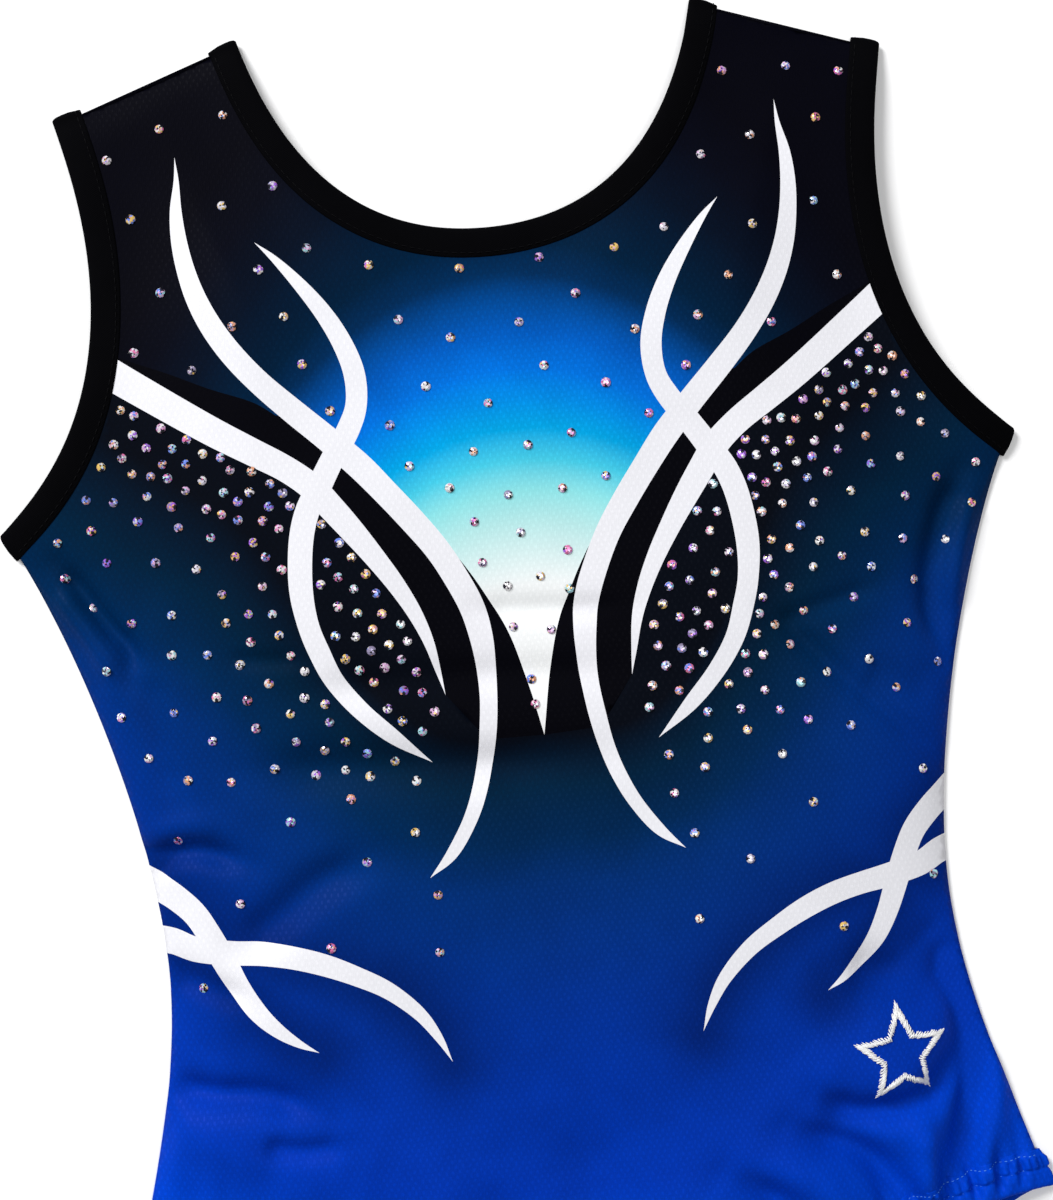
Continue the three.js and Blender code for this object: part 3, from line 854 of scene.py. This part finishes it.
print_outside = printed_cloth("printed_knit")
print_inside = inner_cloth("knit_inside")
binding_cloth = plain_cloth("black_binding_knit", (4, 4, 6), 0.8, 0.02, 0.9, contrast=0.5)
elastic_cloth = plain_cloth("ribbed_elastic", (232, 230, 224), 0.7, 0.3, 1.1, contrast=0.3)
overlock_cloth = plain_cloth("seam_allowance", (16, 24, 44), 0.8, 0.15, 1.0, sheen=0.1)
lining_cloth = plain_cloth("gusset_lining", (26, 44, 96), 0.8, 0.15, 1.2, sheen=0.1, contrast=0.3)
black_yarn = thread("black_thread", (7, 7, 10), 0.55, 0.05, 0.0)
blue_yarn = thread("pale_blue_thread", (86, 144, 226), 0.6, 0.1, 0.0)
dark_yarn = thread("overlock_thread", (20, 30, 54), 0.6, 0.2, 0.1)
star_yarn = thread("embroidery_thread", (255, 255, 255), 0.4, 0.4, 0.2, 0.6)
label_satin = satin_label("label_satin")
backing_felt = felted("stabiliser_web", (244, 244, 244))
glass = crystal_glass("coated_crystal")

# ------------------------------------------------------------------ panels


SEAM_ROLL = 3.0


def panel(name, border, lines, height, tints_of, flat_outline):
    """A panel of cloth from its cut border, with its flat extent and its flat area."""
    flat, tris = triangulated(border, lines, GRID_STEP)
    points = np.column_stack([flat, height(flat)])
    colours = tints_of(flat, tris)
    shell, faces, which = thicken(points, tris, CLOTH)
    at_vertex = np.zeros_like(points)
    at_vertex[tris.ravel()] = colours.reshape(-1, 3)
    rim = at_vertex[faces[2 * len(tris):].ravel() % len(points)]
    tints = np.vstack([colours.reshape(-1, 3), colours[:, ::-1].reshape(-1, 3), rim])
    if name == "back_panel":
        # The print is on the side that faces down.
        which = np.repeat((1.0, 0.0), (len(tris), len(which) - len(tris)))
    # At a seam the print rolls over the edge.
    middle = flat[tris].mean(1)
    q = one_side(middle)
    rolled = away(q, coarse["side"], shoulder, crotch) < SEAM_ROLL
    which[: 2 * len(tris)][np.tile(rolled, 2)] = 0
    obj = build(name, shell, faces, [print_outside, print_inside], "print_fabric", [name], tints, which)
    extent = (flat_outline.max(0) - flat_outline.min(0)) * MM
    return obj, extent, polygon_area(flat_outline) * MM * MM


def polygon_area(p):
    q = np.roll(p, -1, axis=0)
    return abs((p[:, 0] * q[:, 1] - q[:, 0] * p[:, 1]).sum()) / 2


def both_sides(shapes):
    return [s for shape in shapes for s in (shape, (shape * (-1, 1))[::-1])]


def back_tints(p, triangles):
    colours = tinted(p[:, 1], BACK_COLOURS)[triangles]
    middle = p[triangles].mean(1)
    q = one_side(middle)
    for shape in back_shapes:
        colours[inside(q, shape)] = linear(RIBBON_WHITE)
    return colours


# The swooshes run on round the side seams and taper out on the back.
BACK_SWOOSHES = [
    [(142, -97, 9.2), (128, -93, 9), (112, -86, 8.4), (96, -76, 7.2), (82, -63, 5.4), (72, -50, 3),
     (66, -38, 0)],
    [(142, -78, 10), (130, -84, 9.5), (120, -93, 8.8), (112, -104, 8), (106, -117, 6.6),
     (102, -130, 4.2), (100, -144, 0)],
]
back_shapes = [ribbon(rows)[1] for rows in BACK_SWOOSHES]

front_outline = outline(front_neck, front_leg)
front_border = cut_outline(front_neck, front_leg)
back_border = cut_outline(back_neck, back_leg)
front_lines = both_sides([*white_shapes, upper_bar, lower_bar, crescent])
front_panel, front_extent, front_area = panel(
    "front_panel", front_border, front_lines, front_height, front_tints, front_outline)
back_panel, back_extent, back_area = panel(
    "back_panel", back_border, both_sides(back_shapes), back_height, back_tints,
    outline(back_neck, back_leg))

# ------------------------------------------------------------------ bound edges

FOLD_STEPS = 9
FOLD_REACH = 1.3
SEAM_REACH = 14.0


def leaning(line, leans):
    """The way inside the edge: square to it, but along the seams that it meets at its ends."""
    inward, s = right_hand(directions(line)), lengths(line)
    for lean, far in zip(leans, (s, s[-1] - s)):
        near = smooth(1 - far / SEAM_REACH)[:, None]
        inward = inward * (1 - near) + np.array(lean) / np.hypot(*lean) * near
    return inward / np.linalg.norm(inward, axis=1)[:, None]


class Loop:
    """A bound edge: along the front, round the seam at its end, back along the back and round again.
    Stations follow it. At each one, a point of the section lies some way inside the edge and some
    way out from the middle of the cloth."""

    def __init__(self, front, back, step, leans):
        f, b = resample(front, step), resample(back, step)
        f_in, b_in = leaning(f, leans), leaning(b, leans)
        start, end = -directions(f)[0], directions(f)[-1]
        turn = np.pi * np.arange(1, FOLD_STEPS + 1) / (FOLD_STEPS + 1)
        many = np.ones((FOLD_STEPS, 1))
        self.spot = np.vstack([f, f[-1] * many, b[::-1], f[0] * many])
        self.inward = np.vstack([f_in, f_in[-1] * many, b_in[::-1], f_in[0] * many])
        self.ahead = np.vstack([0 * f, end * many, 0 * b, start * many])
        self.turn = np.concatenate([np.zeros(len(f)), turn, np.full(len(b), np.pi), turn[::-1]])
        self.is_back = self.turn > np.pi / 2
        step_out = np.diff(np.vstack([self.spot, self.spot[:1]]), axis=0)
        turn_out = np.abs(np.diff(np.append(self.turn, self.turn[0]))) * 3.0
        self.along = np.concatenate([[0], np.cumsum(np.linalg.norm(step_out, axis=1) + turn_out)[:-1]])

    def place(self, a, b):
        """Points at every station: a inside the edge and b out from the middle of the cloth."""
        shape = (len(self.spot), np.shape(a)[-1])
        a, b = np.broadcast_to(a, shape), np.broadcast_to(b, shape)
        sine, cosine = np.sin(self.turn)[:, None], np.cos(self.turn)[:, None]
        base = self.spot[:, None] + self.inward[:, None] * a[..., None]
        top = front_height(base.reshape(-1, 2)).reshape(shape)
        low = back_height(base.reshape(-1, 2)).reshape(shape)
        xy = base + self.ahead[:, None] * (sine * (FOLD_REACH + b))[..., None]
        z = (top + low) / 2 + (top - low) / 2 * cosine + b * cosine
        return np.concatenate([xy, np.maximum(z, 0.05)[..., None]], axis=-1)


STRIP_WALL = 0.45


def folded_section(width, swell, edge):
    """A strip folded over an edge, all the way round: (inside the edge, out from the middle)."""
    half = [
        (width, edge), (width - 0.5, edge + 0.18), (width - 1.4, edge + 0.3), (width * 0.6, swell * 0.97),
        (width * 0.35, swell), (1.7, swell * 0.93), (0.65, swell * 0.68), (0.12, swell * 0.33),
    ]
    inner = [
        (width, edge - STRIP_WALL), (width - 1.4, edge + 0.3 - STRIP_WALL),
        (width * 0.6, swell * 0.97 - STRIP_WALL), (width * 0.35, swell - STRIP_WALL),
        (1.7, swell * 0.9 - STRIP_WALL), (0.75, swell * 0.4 - STRIP_WALL * 0.4), (STRIP_WALL, 0),
    ]
    outside = [*half, (0, 0), *[(a, -b) for a, b in half[::-1]]]
    lining = [*[(a, -b) for a, b in inner[:-1]], inner[-1], *inner[:-1][::-1]]
    return np.array([*outside, *lining])


shoulder_way = NECK - SHOULDER
side_way = side[3] - side[0]
hip_way = side[-4] - side[-1]


def flipped(way):
    return way * (-1, 1)


BINDING_STEP, LEG_STEP = 2.0, 0.7
to_left_side, to_right_side = (shoulder_way, side_way), (flipped(side_way), flipped(shoulder_way))
right_armhole = mirrored(armhole)
loops = {
    "neck": Loop(front_neck, back_neck, BINDING_STEP, (-flipped(shoulder_way), -shoulder_way)),
    "left_armhole": Loop(armhole, armhole, BINDING_STEP, to_left_side),
    "right_armhole": Loop(right_armhole, right_armhole, BINDING_STEP, to_right_side),
    "left_leg": Loop(front_leg, back_leg, LEG_STEP, (hip_way, (-1.0, 0.0))),
    "right_leg": Loop(
        mirrored(front_leg), mirrored(back_leg), LEG_STEP, ((1.0, 0.0), flipped(hip_way))),
}


def binding(name):
    """A black strip folded over a bound edge, a little puffed and a little uneven in width."""
    loop = loops[name]
    a, b = folded_section(BINDING_WIDTH, 1.12, 0.4).T
    s = loop.along[:, None]
    puff = 1 + 0.05 * np.sin(s / 7.3) + 0.04 * np.sin(s / 3.1 + 1.7)
    wander = 0.16 * np.sin(s / 17.0 + len(name)) * smooth(a / 4)[None]
    points, faces = swept(loop.place(a[None] + wander, b[None] * puff), True)
    piece = f"{name}_binding"
    return build(piece, points, faces, [binding_cloth], "binding_fabric", [piece])


ROW_INSETS = (CASING_WIDTH - 1.6, CASING_WIDTH - 6.3)


def pucker(s, a):
    """How far a casing's cloth is gathered out or in: strong between its two rows of stitches."""
    phase = s * 2 * np.pi / 3.9 + 1.3 * np.sin(s / 6.1) + 0.7 * np.sin(s / 2.9)
    groove = (0.5 + 0.5 * np.sin(phase)) ** 3
    wave = 0.5 - 1.7 * groove * (0.65 + 0.35 * np.sin(s / 4.7))
    between = smooth((a - ROW_INSETS[1]) / 1.2) * smooth((ROW_INSETS[0] - a) / 1.2)
    roll = smooth(a / 2) * smooth((ROW_INSETS[1] - a) / 1.5)
    return wave * (1.3 * between + 0.25 * roll)


def casing_out(s, a):
    """The outside of a casing's front leaf: a soft roll below the lower row and a flat band above."""
    upper, lower = ROW_INSETS
    dip = 0.5 * np.exp(-(((a - upper) / 0.55) ** 2)) + 0.5 * np.exp(-(((a - lower) / 0.6) ** 2))
    roll = 1.45 * smooth((lower + 0.8 - a) / 3.0)
    flat = 1.3 * smooth((CASING_WIDTH + 0.2 - a) / 2.2)
    return np.maximum(roll, flat) - dip + pucker(s, a)


def casing(name):
    """A leg's hem: the cloth turned in round the elastic, gathered and stitched in two rows."""
    loop = loops[name]
    a = np.concatenate([np.linspace(CASING_WIDTH, 2.0, 27), (1.3, 0.75, 0.35, 0.08)])
    s = loop.along[:, None]
    end = np.sqrt(np.clip(1 - ((2.0 - np.minimum(a, 2.0)) / 2.0) ** 2, 0, 1))
    outer = np.maximum(casing_out(s, a[None]), 0.3) * end
    inner, inner_a = np.maximum(outer[:, :-1] - STRIP_WALL, 0.05), (a + STRIP_WALL)[:-1]
    a_all = np.concatenate([a, [0.0], a[::-1], inner_a, inner_a[::-1]])
    b_all = np.concatenate([outer, 0 * outer[:, :1], -outer[:, ::-1], -inner, inner[:, ::-1]], axis=1)
    rings = loop.place(np.minimum(a_all, CASING_WIDTH)[None], b_all)
    points, faces = swept(rings, True)
    flat = points[:, :2]
    station = np.repeat(np.arange(len(loop.spot)), rings.shape[1])
    tint = np.where(loop.is_back[station][:, None], casing_tint(flat, True), casing_tint(flat, False))
    corners = np.array(faces).ravel()
    piece = f"{name}_casing"
    return build(piece, points, faces, [print_outside], "print_fabric", [piece], tint[corners])


def elastic(name):
    """A ribbed band inside a bound edge, all the way round."""
    loop = loops[name]
    ribs = 0.5 + 0.05 * np.sin(loop.along[:, None] * 2 * np.pi / 1.9)
    a = np.array([1.2, 1.5, 2.7, 3.9, 4.2, 4.2, 3.9, 2.7, 1.5, 1.2])
    b = np.array([0.6, 0.9, 1.0, 0.9, 0.6, -0.6, -0.9, -1.0, -0.9, -0.6])
    points, faces = swept(loop.place(a, b[None] * ribs), True)
    piece = f"{name}_elastic"
    return build(piece, points, faces, [elastic_cloth], "elastic", [piece])


def stitch_row(loop, inside_edge, out, dash, gap, width, high):
    """Short stitches one after another along a loop, each a little sunk at its ends."""
    rail = loop.place(np.array([inside_edge, inside_edge]), np.array([[out, out + 1.0]]))
    centre, raised = rail[:, 0], rail[:, 1]
    s = lengths(centre)
    parts = []
    for start in np.arange(1.0, s[-1] - dash - 1.0, dash + gap):
        at = start + dash * np.linspace(0, 1, 5)
        line, up = (
            np.column_stack([np.interp(at, s, rows[:, c]) for c in range(3)])
            for rows in (centre, raised - centre))
        up /= np.linalg.norm(up, axis=1)[:, None]
        sink = np.array([-0.55, -0.1, 0.05, -0.1, -0.55])[:, None] * high
        parts.append(strand(line + up * sink, up, width, high))
    return joined(parts)


bindings = [binding(name) for name in ("neck", "left_armhole", "right_armhole")]
casings = [casing(name) for name in ("left_leg", "right_leg")]
elastics = [elastic(name) for name in loops]
for name in ("neck", "left_armhole", "right_armhole"):
    made = stitch_row(loops[name], BINDING_WIDTH - 1.6, 0.92, 1.9, 0.9, 0.34, 0.28)
    piece = f"{name}_inner_stitching"
    build(piece, *made, [black_yarn], "black_thread", [piece])
for name in ("left_leg", "right_leg"):
    for row, inset_by in zip(("upper", "lower"), ROW_INSETS):
        made = stitch_row(loops[name], inset_by, 0.66, 1.2, 0.7, 0.32, 0.3)
        piece = f"{name}_{row}_stitching"
        build(piece, *made, [blue_yarn], "blue_thread", [piece])

# ------------------------------------------------------------------ inside


def between(p, share):
    """A height between the two panels: 0 on the back one and 1 under the front one."""
    low = back_height(p) + CLOTH / 2
    high = front_height(p) - CLOTH / 2
    return low + (high - low) * share


def lattice(first, second, across, along):
    """A grid of flat points between two lines, and its triangles."""
    at = np.linspace(0, 1, along)
    first, second = (
        np.column_stack([np.interp(at, np.linspace(0, 1, len(line)), line[:, k]) for k in range(2)])
        for line in (first, second))
    share = np.linspace(0, 1, across)[:, None, None]
    flat = (first[None] * (1 - share) + second[None] * share).reshape(-1, 2)
    k = (np.arange(across - 1)[:, None] * along + np.arange(along - 1)).ravel()
    tris = np.vstack([
        np.column_stack([k, k + 1, k + along + 1]), np.column_stack([k, k + along + 1, k + along])])
    return flat, facing_up(flat, tris)[0]


def seam(name, edge, trim_start, trim_end):
    """An overlocked seam allowance: the cloth's two edges turned in, under loops of thread."""
    line = resample(edge, 1.5)
    s = lengths(line)
    line = line[(s > trim_start) & (s < s[-1] - trim_end)]
    near, far = inset(line, 1.4), inset(line, 6.0)
    flat, tris = lattice(near, far, 6, len(line))
    edge_wave = 0.06 * np.sin(np.arange(len(flat)) * 1.3)
    cloth, faces, _ = thicken(np.column_stack([flat, between(flat, 0.5) + edge_wave]), tris, 0.3)
    parts = [(cloth, [tuple(f) for f in faces])]
    for shift, up in ((0.0, 1), (0.8, -1)):
        at = np.arange(shift, lengths(line)[-1], 0.8)
        zig = np.where(np.arange(len(at)) % 2 == 0, 2.6, 6.1)
        spot = np.column_stack([np.interp(at, lengths(line), line[:, k]) for k in range(2)])
        normal = right_hand(directions(spot))
        path = spot + normal * zig[:, None]
        z = between(path, 0.5) + up * 0.24
        upright = np.tile((0, 0, 1.0), (len(path), 1))
        parts.append(strand(np.column_stack([path, z]), upright, 0.26, 0.2, 5))
    points, faces = joined(parts)
    which = np.zeros(len(faces), int)
    which[len(parts[0][1]):] = 1
    return build(
        name, points, faces, [overlock_cloth, dark_yarn], "overlock_thread", [name], which=which)


seams = [
    seam("left_side_seam", side, 11, 14),
    seam("right_side_seam", mirrored(side), 14, 11),
    seam("left_shoulder_seam", shoulder, 11, 11),
    seam("right_shoulder_seam", mirrored(shoulder), 11, 11),
    seam("crotch_seam", np.array((CROTCH, CROTCH * (-1, 1))), 13.5, 13.5),
]


def lining():
    """The gusset lining: one strip folded at the crotch, with a leaf against each panel."""
    low, high, across, along = 6.8, 95.0, 27, 46

    def leaf(share, leg):
        line = inset(resample(leg, 2), CASING_WIDTH + 0.6)
        line = line[(line[:, 1] > low) & (line[:, 1] < high)][::-1]
        heights = np.linspace(low, high, along)
        x = np.interp(heights, line[:, 1], line[:, 0])
        flat, tris = lattice(
            np.column_stack([-x, heights]), np.column_stack([x, heights]), across, along)
        return np.column_stack([flat, between(flat, share)]), tris

    (top, tris), (bottom, low_tris) = leaf(0.86, front_leg), leaf(0.14, front_leg)
    count = len(top)
    first = np.arange(across) * along
    fold = np.vstack([
        np.column_stack([first[:-1], first[:-1] + count, first[1:] + count]),
        np.column_stack([first[:-1], first[1:] + count, first[1:]]),
    ])
    faces = np.vstack([tris, low_tris[:, ::-1] + count, fold])
    shell, closed, _ = thicken(np.vstack([top, bottom]), faces, 0.32)
    obj = build("crotch_lining", shell, closed, [lining_cloth], "lining", ["crotch_lining"])
    width = np.ptp(top[:, 0]) * MM
    widths = np.ptp(top.reshape(across, along, 3)[:, :, 0], axis=0)
    area = 2 * np.sum(widths) * (high - low) / along * MM * MM
    return obj, (width, 2 * (high - low) * MM), area


crotch_lining, lining_flat, lining_area = lining()


def label():
    """A blank folded satin label, caught under the neck binding, curling a little at its foot."""
    top = BODY_LENGTH - BACK_NECK_DROP - BINDING_WIDTH - 0.3
    left = np.column_stack([np.full(20, -12.0), np.linspace(top - 34, top, 20)])
    flat, tris = lattice(left, left + (24, 0), 13, 20)
    curl = 0.5 * smooth((top - 22 - flat[:, 1]) / 12) + 0.12 * np.sin(flat[:, 0] / 3.2)
    z = back_height(flat) + CLOTH / 2 + 0.42 + curl
    shell, faces, _ = thicken(np.column_stack([flat, z]), tris, 0.25)
    return build("care_label", shell, faces, [label_satin], "label", ["care_label"])


care_label = label()


def backing():
    """The stabiliser behind the star: a disc with a hand-cut edge."""
    rings = 9
    angle = np.arange(48) * 2 * np.pi / 48
    reach = STAR_RADIUS + 4 + 0.35 * np.sin(5 * angle) + 0.25 * np.sin(11 * angle + 1)
    way = np.column_stack([np.cos(angle), np.sin(angle)])
    flat = np.vstack([STAR_CENTRE] + [
        STAR_CENTRE + way * (reach * k / rings)[:, None] for k in range(1, rings + 1)])
    tris = [(0, 1 + n, 1 + (n + 1) % 48) for n in range(48)]
    for k in range(rings - 1):
        a = 1 + 48 * k
        for n in range(48):
            m = (n + 1) % 48
            tris += [(a + n, a + 48 + n, a + 48 + m), (a + n, a + 48 + m, a + m)]
    tris = np.array(tris)
    z = front_height(flat) - CLOTH / 2 - 0.3
    shell, faces, _ = thicken(np.column_stack([flat, z]), tris, 0.3)
    return build("star_backing", shell, faces, [backing_felt], "backing", ["star_backing"])


star_backing = backing()

# ------------------------------------------------------------------ star

rng = np.random.default_rng(7)


def star_ring(radius):
    angle = np.pi / 2 + np.pi * np.arange(10) / 5
    reach = np.where(np.arange(10) % 2 == 0, radius, radius * 0.47)
    ring = STAR_CENTRE + np.column_stack([np.cos(angle), np.sin(angle)]) * reach[:, None]
    return np.vstack([ring, ring[:1]])


def star():
    """A star in satin stitch: strands laid side by side across its line, raised in their middle."""
    outer, inner = star_ring(STAR_RADIUS), star_ring(STAR_RADIUS - 2 * STAR_LINE)
    share = np.linspace(0, 1, len(outer))
    count = 215
    arch = 0.62 * np.sqrt(np.clip(1 - np.linspace(-1, 1, 7) ** 2, 0, 1))
    lines, lifts = [], []
    for k in range(count):
        here = (k + 0.5) / count
        slant = 0.0035 if k % 2 else -0.0035
        a = np.array([np.interp(here - slant, share, outer[:, c]) for c in range(2)])
        b = np.array([np.interp(here + slant, share, inner[:, c]) for c in range(2)])
        a, b = a + (a - b) * rng.uniform(-0.1, 0.24), b + (b - a) * rng.uniform(-0.1, 0.24)
        lines.append(a + (b - a) * np.linspace(0, 1, 7)[:, None])
        lifts.append(arch + rng.uniform(0, 0.14))
    lines, lifts = np.array(lines), np.array(lifts)
    z = front_height(lines.reshape(-1, 2)).reshape(count, 7) + CLOTH / 2 + lifts - 0.05
    parts = [
        strand(np.column_stack([line, height]), np.array((0, 0, 1.0)), rng.uniform(0.4, 0.56), 0.42, 5)
        for line, height in zip(lines, z)
    ]
    points, faces = joined(parts)
    return build("star_embroidery", points, faces, [star_yarn], "embroidery", ["star_embroidery"])


star_embroidery = star()

# ------------------------------------------------------------------ crystals

# Facet colours: the coating's pinks, purples, golds and blues, and whites that are painted glints.
COATING_AND_GLINT_COLOURS = linear([
    (244, 130, 186), (176, 110, 240), (255, 214, 120), (120, 150, 250), (255, 255, 255), (180, 236, 246),
    (246, 176, 140), (255, 250, 255), (235, 228, 245), (160, 150, 184), (255, 255, 255), (240, 190, 236),
])
# Painted dark: the shade at a stone's rim and a dark reflection on some of its facets.
SHADE_AND_DARK_REFLECTION_FACET = linear((24, 22, 38))
CRYSTAL_RADIUS = 1.55


def crystal_shape():
    """A round flat-backed stone and its faces: a girdle of 16, a ring of 8, and 8 up to its peak."""
    wide, top = np.arange(16) * np.pi / 8, np.arange(8) * np.pi / 4
    mid = top + np.pi / 8

    def ring(angle, radius, z):
        return np.column_stack([np.cos(angle) * radius, np.sin(angle) * radius, np.full(len(angle), z)])

    points = CRYSTAL_RADIUS * np.vstack([
        ring(wide, 1.0, 0.0), ring(wide, 1.0, 0.14), ring(mid, 0.82, 0.36), ring(top, 0.52, 0.55),
        (0, 0, 0.58)])
    faces = [tuple(range(16))[::-1]]
    faces += [(n, (n + 1) % 16, 16 + (n + 1) % 16, 16 + n) for n in range(16)]
    for n in range(8):
        m = (n + 1) % 8
        low, mid_here, mid_before = 16 + 2 * n, 32 + n, 32 + (n - 1) % 8
        faces += [
            (low, low + 1, mid_here), (low + 1, 16 + (2 * n + 2) % 16, mid_here),
            (low, mid_here, 40 + n, mid_before), (mid_here, 40 + m, 40 + n),
        ]
    faces += [(40 + n, 40 + (n + 1) % 8, 48) for n in range(8)]
    return points, faces


def halton(count, base):
    out = np.zeros(count)
    for k in range(count):
        n, share = k + 1, 1.0
        while n:
            share /= base
            out[k] += share * (n % base)
            n //= base
    return out


def scatter(box, spacing, allowed, start=0, tries=5200):
    """Spots no nearer each other than a spacing that changes from place to place."""
    (x0, y0), (x1, y1) = box
    spots = np.column_stack([
        x0 + (x1 - x0) * halton(tries + start, 2), y0 + (y1 - y0) * halton(tries + start, 3)])[start:]
    spots = spots[allowed(spots)]
    kept = []
    for (x, y), gap in zip(spots, spacing(spots)):
        if all((x - u) ** 2 + (y - v) ** 2 > gap * (gap + other) / 2 for u, v, other in kept):
            kept.append((x, y, gap))
    return np.array(kept)[:, :2]


safe_outline = resample(front_outline, 4)


def on_cloth(p):
    q = one_side(p)
    clear = inside(p, safe_outline) & (away(q, coarse["armhole"], coarse["front_neck"]) > 13)
    clear &= away(q, coarse["side"], shoulder) > 5
    for line in (outer_line, inner_line, band_line, long_line, short_line):
        clear &= nearest(q, line[::4])[0] > 5.6
    return clear


def below_band(p):
    """The zone under the armhole band, outside the inner ribbon and above the waist."""
    q = one_side(p)
    y = q[:, 1] - PRINT_ZERO
    edge = np.interp(q[:, 0], (38, 66, 85, 105, 128), (-10, 44, 58, 71, 88))
    out = (y < edge - 4) & ~inside(q, lens_area) & (y > -124) & (q[:, 0] > 40)
    return out & ~inside(q, lower_bar) & on_cloth(p)


def zones():
    """The crystals: thick under the armholes, evenly spaced in the lenses and thin elsewhere."""

    def side_gap(p):
        q = one_side(p)
        y = q[:, 1] - PRINT_ZERO
        under = np.interp(q[:, 0], (38, 66, 85, 105, 128), (-10, 44, 58, 71, 88)) - y
        reach = np.minimum(under, 24 + 0.9 * nearest(q, inner_line)[0] + 3 * np.maximum(-50 - y, 0))
        return 4.7 + 0.18 * np.maximum(reach - 25, 0)

    def lens_gap(p):
        return np.full(len(p), 5.9)

    def in_lens(p):
        return inside(one_side(p), lens_area) & on_cloth(p)

    def in_chest(p):
        clear = ~inside(one_side(p), upper_bar) & (p[:, 1] < 548)
        return inside(p, chest_area) & on_cloth(p) & clear

    def chest_gap(p):
        y = p[:, 1] - PRINT_ZERO
        return np.interp(y, (-40, 0, 40, 90, 200), (7.5, 10, 14, 16.5, 18))

    return {
        "crystals_left_bust": scatter(((40, 250), (165, 465)), side_gap, below_band),
        "crystals_right_bust": scatter(((-165, 250), (-40, 465)), side_gap, below_band, 40),
        "crystals_left_lens": scatter(((26, 320), (76, 425)), lens_gap, in_lens, 11, 2600),
        "crystals_right_lens": scatter(((-76, 320), (-26, 425)), lens_gap, in_lens, 23, 2600),
        "crystals_chest": scatter(((-140, 328), (140, 560)), chest_gap, in_chest, 5),
    }


def crystals(name, spots):
    shape, faces = crystal_shape()
    facet_angles = [math.atan2(*shape[list(face)].mean(0)[1::-1]) for face in faces]
    points, tints, all_faces = [], [], []
    top = front_height(spots)
    across = (front_height(spots + (1, 0)) - front_height(spots - (1, 0))) / 2
    along = (front_height(spots + (0, 1)) - front_height(spots - (0, 1))) / 2
    for k, (x, y) in enumerate(spots):
        turn = rng.uniform(0, np.pi / 4)
        c, s = np.cos(turn), np.sin(turn)
        size = rng.uniform(0.94, 1.06)
        stone = shape * size @ np.array([(c, s, 0), (-s, c, 0), (0, 0, 1)])
        stone[:, 2] += across[k] * stone[:, 0] + along[k] * stone[:, 1] + top[k] + CLOTH / 2
        first = len(points) * len(shape)
        points.append(stone + (x, y, 0))
        main = rng.integers(0, len(COATING_AND_GLINT_COLOURS), 3)
        # Painted light on each stone: its base and girdle are painted dark as the shade at its rim, and a
        # wedge of facets on a side turned at random is painted dark as a dark reflection. The rest take
        # coating tints and painted white glints.
        shade = rng.uniform(0, 2 * np.pi)
        for number, face in enumerate(faces):
            all_faces.append(tuple(first + n for n in face))
            turned_by = abs((facet_angles[number] - shade + np.pi) % (2 * np.pi) - np.pi)
            dark = number <= 16 or turned_by < 0.5 or (turned_by > 1.2 and rng.random() < 0.16)
            pick = main[rng.integers(3)] if rng.random() < 0.85 else rng.integers(len(COATING_AND_GLINT_COLOURS))
            tints += [SHADE_AND_DARK_REFLECTION_FACET if dark else COATING_AND_GLINT_COLOURS[pick]] * len(face)
    return build(name, np.vstack(points), all_faces, [glass], "crystal", (), np.array(tints), is_smooth=False)


stones = [crystals(name, spots) for name, spots in zones().items()]

# ------------------------------------------------------------------ floor, light and camera


def floor():
    """A pale floor, with a very slight unevenness of tone."""
    mesh = bpy.data.meshes.new("floor")
    size, count = 6.0, 12
    at = np.linspace(-size / 2, size / 2, count + 1)
    points = [(x, y, -0.0002) for y in at for x in at]
    faces = [
        (
            j * (count + 1) + i, j * (count + 1) + i + 1,
            (j + 1) * (count + 1) + i + 1, (j + 1) * (count + 1) + i,
        )
        for j in range(count) for i in range(count)
    ]
    mesh.from_pydata(points, [], faces)
    obj = bpy.data.objects.new("floor", mesh)
    bpy.context.scene.collection.objects.link(obj)
    s = Shader("pale_floor", roughness=0.9, specular=0.05)
    s.colour((0.97, 0.97, 0.975), s.cloud(0.004, 3.0, 0.985, 1.0))
    mesh.materials.append(s.material)


floor()


def soft_light(name, place_at, size, power):
    data = bpy.data.lights.new(name, "AREA")
    data.shape, data.size, data.energy = "DISK", size, power
    obj = bpy.data.objects.new(name, data)
    obj.location = place_at
    obj.rotation_mode = "QUATERNION"
    obj.rotation_quaternion = (Vector((0, 0.05, 0)) - obj.location).to_track_quat("-Z", "Y")
    bpy.context.scene.collection.objects.link(obj)


soft_light("key", (-1.5, 1.9, 1.7), 1.2, 90.0)
soft_light("fill", (0.5, 0.0, 2.7), 1.6, 20.0)
world = bpy.data.worlds.new("studio")
world.use_nodes = True
world.node_tree.nodes["Background"].inputs["Color"].default_value = (1, 1, 1, 1)
world.node_tree.nodes["Background"].inputs["Strength"].default_value = 0.32
bpy.context.scene.world = world
bpy.context.scene.view_settings.view_transform = "Standard"

# The camera looks down on the front, turned and tilted a little, and crops the leg openings.
CAMERA_ROLL, CAMERA_SIDE_TILT, CAMERA_END_TILT = map(math.radians, (6.275, 3.083, 0.041))
CAMERA_AIM = Vector((0.000637, -0.000001, -0.6105))
CAMERA_SHIFT = Vector((0, 0.0905, 0.007))
turned = (
    Matrix.Rotation(CAMERA_END_TILT, 3, "X")
    @ Matrix.Rotation(CAMERA_SIDE_TILT, 3, "Y")
    @ Matrix.Rotation(CAMERA_ROLL, 3, "Z")
).transposed()
camera = bpy.data.objects.new("camera", bpy.data.cameras.new("camera"))
camera.data.lens = 55
camera.data.sensor_width = 36
camera.data.clip_start = 0.01
camera.matrix_world = Matrix.Translation(turned @ -CAMERA_AIM + CAMERA_SHIFT) @ turned.to_4x4()
bpy.context.scene.collection.objects.link(camera)
bpy.context.scene.camera = camera
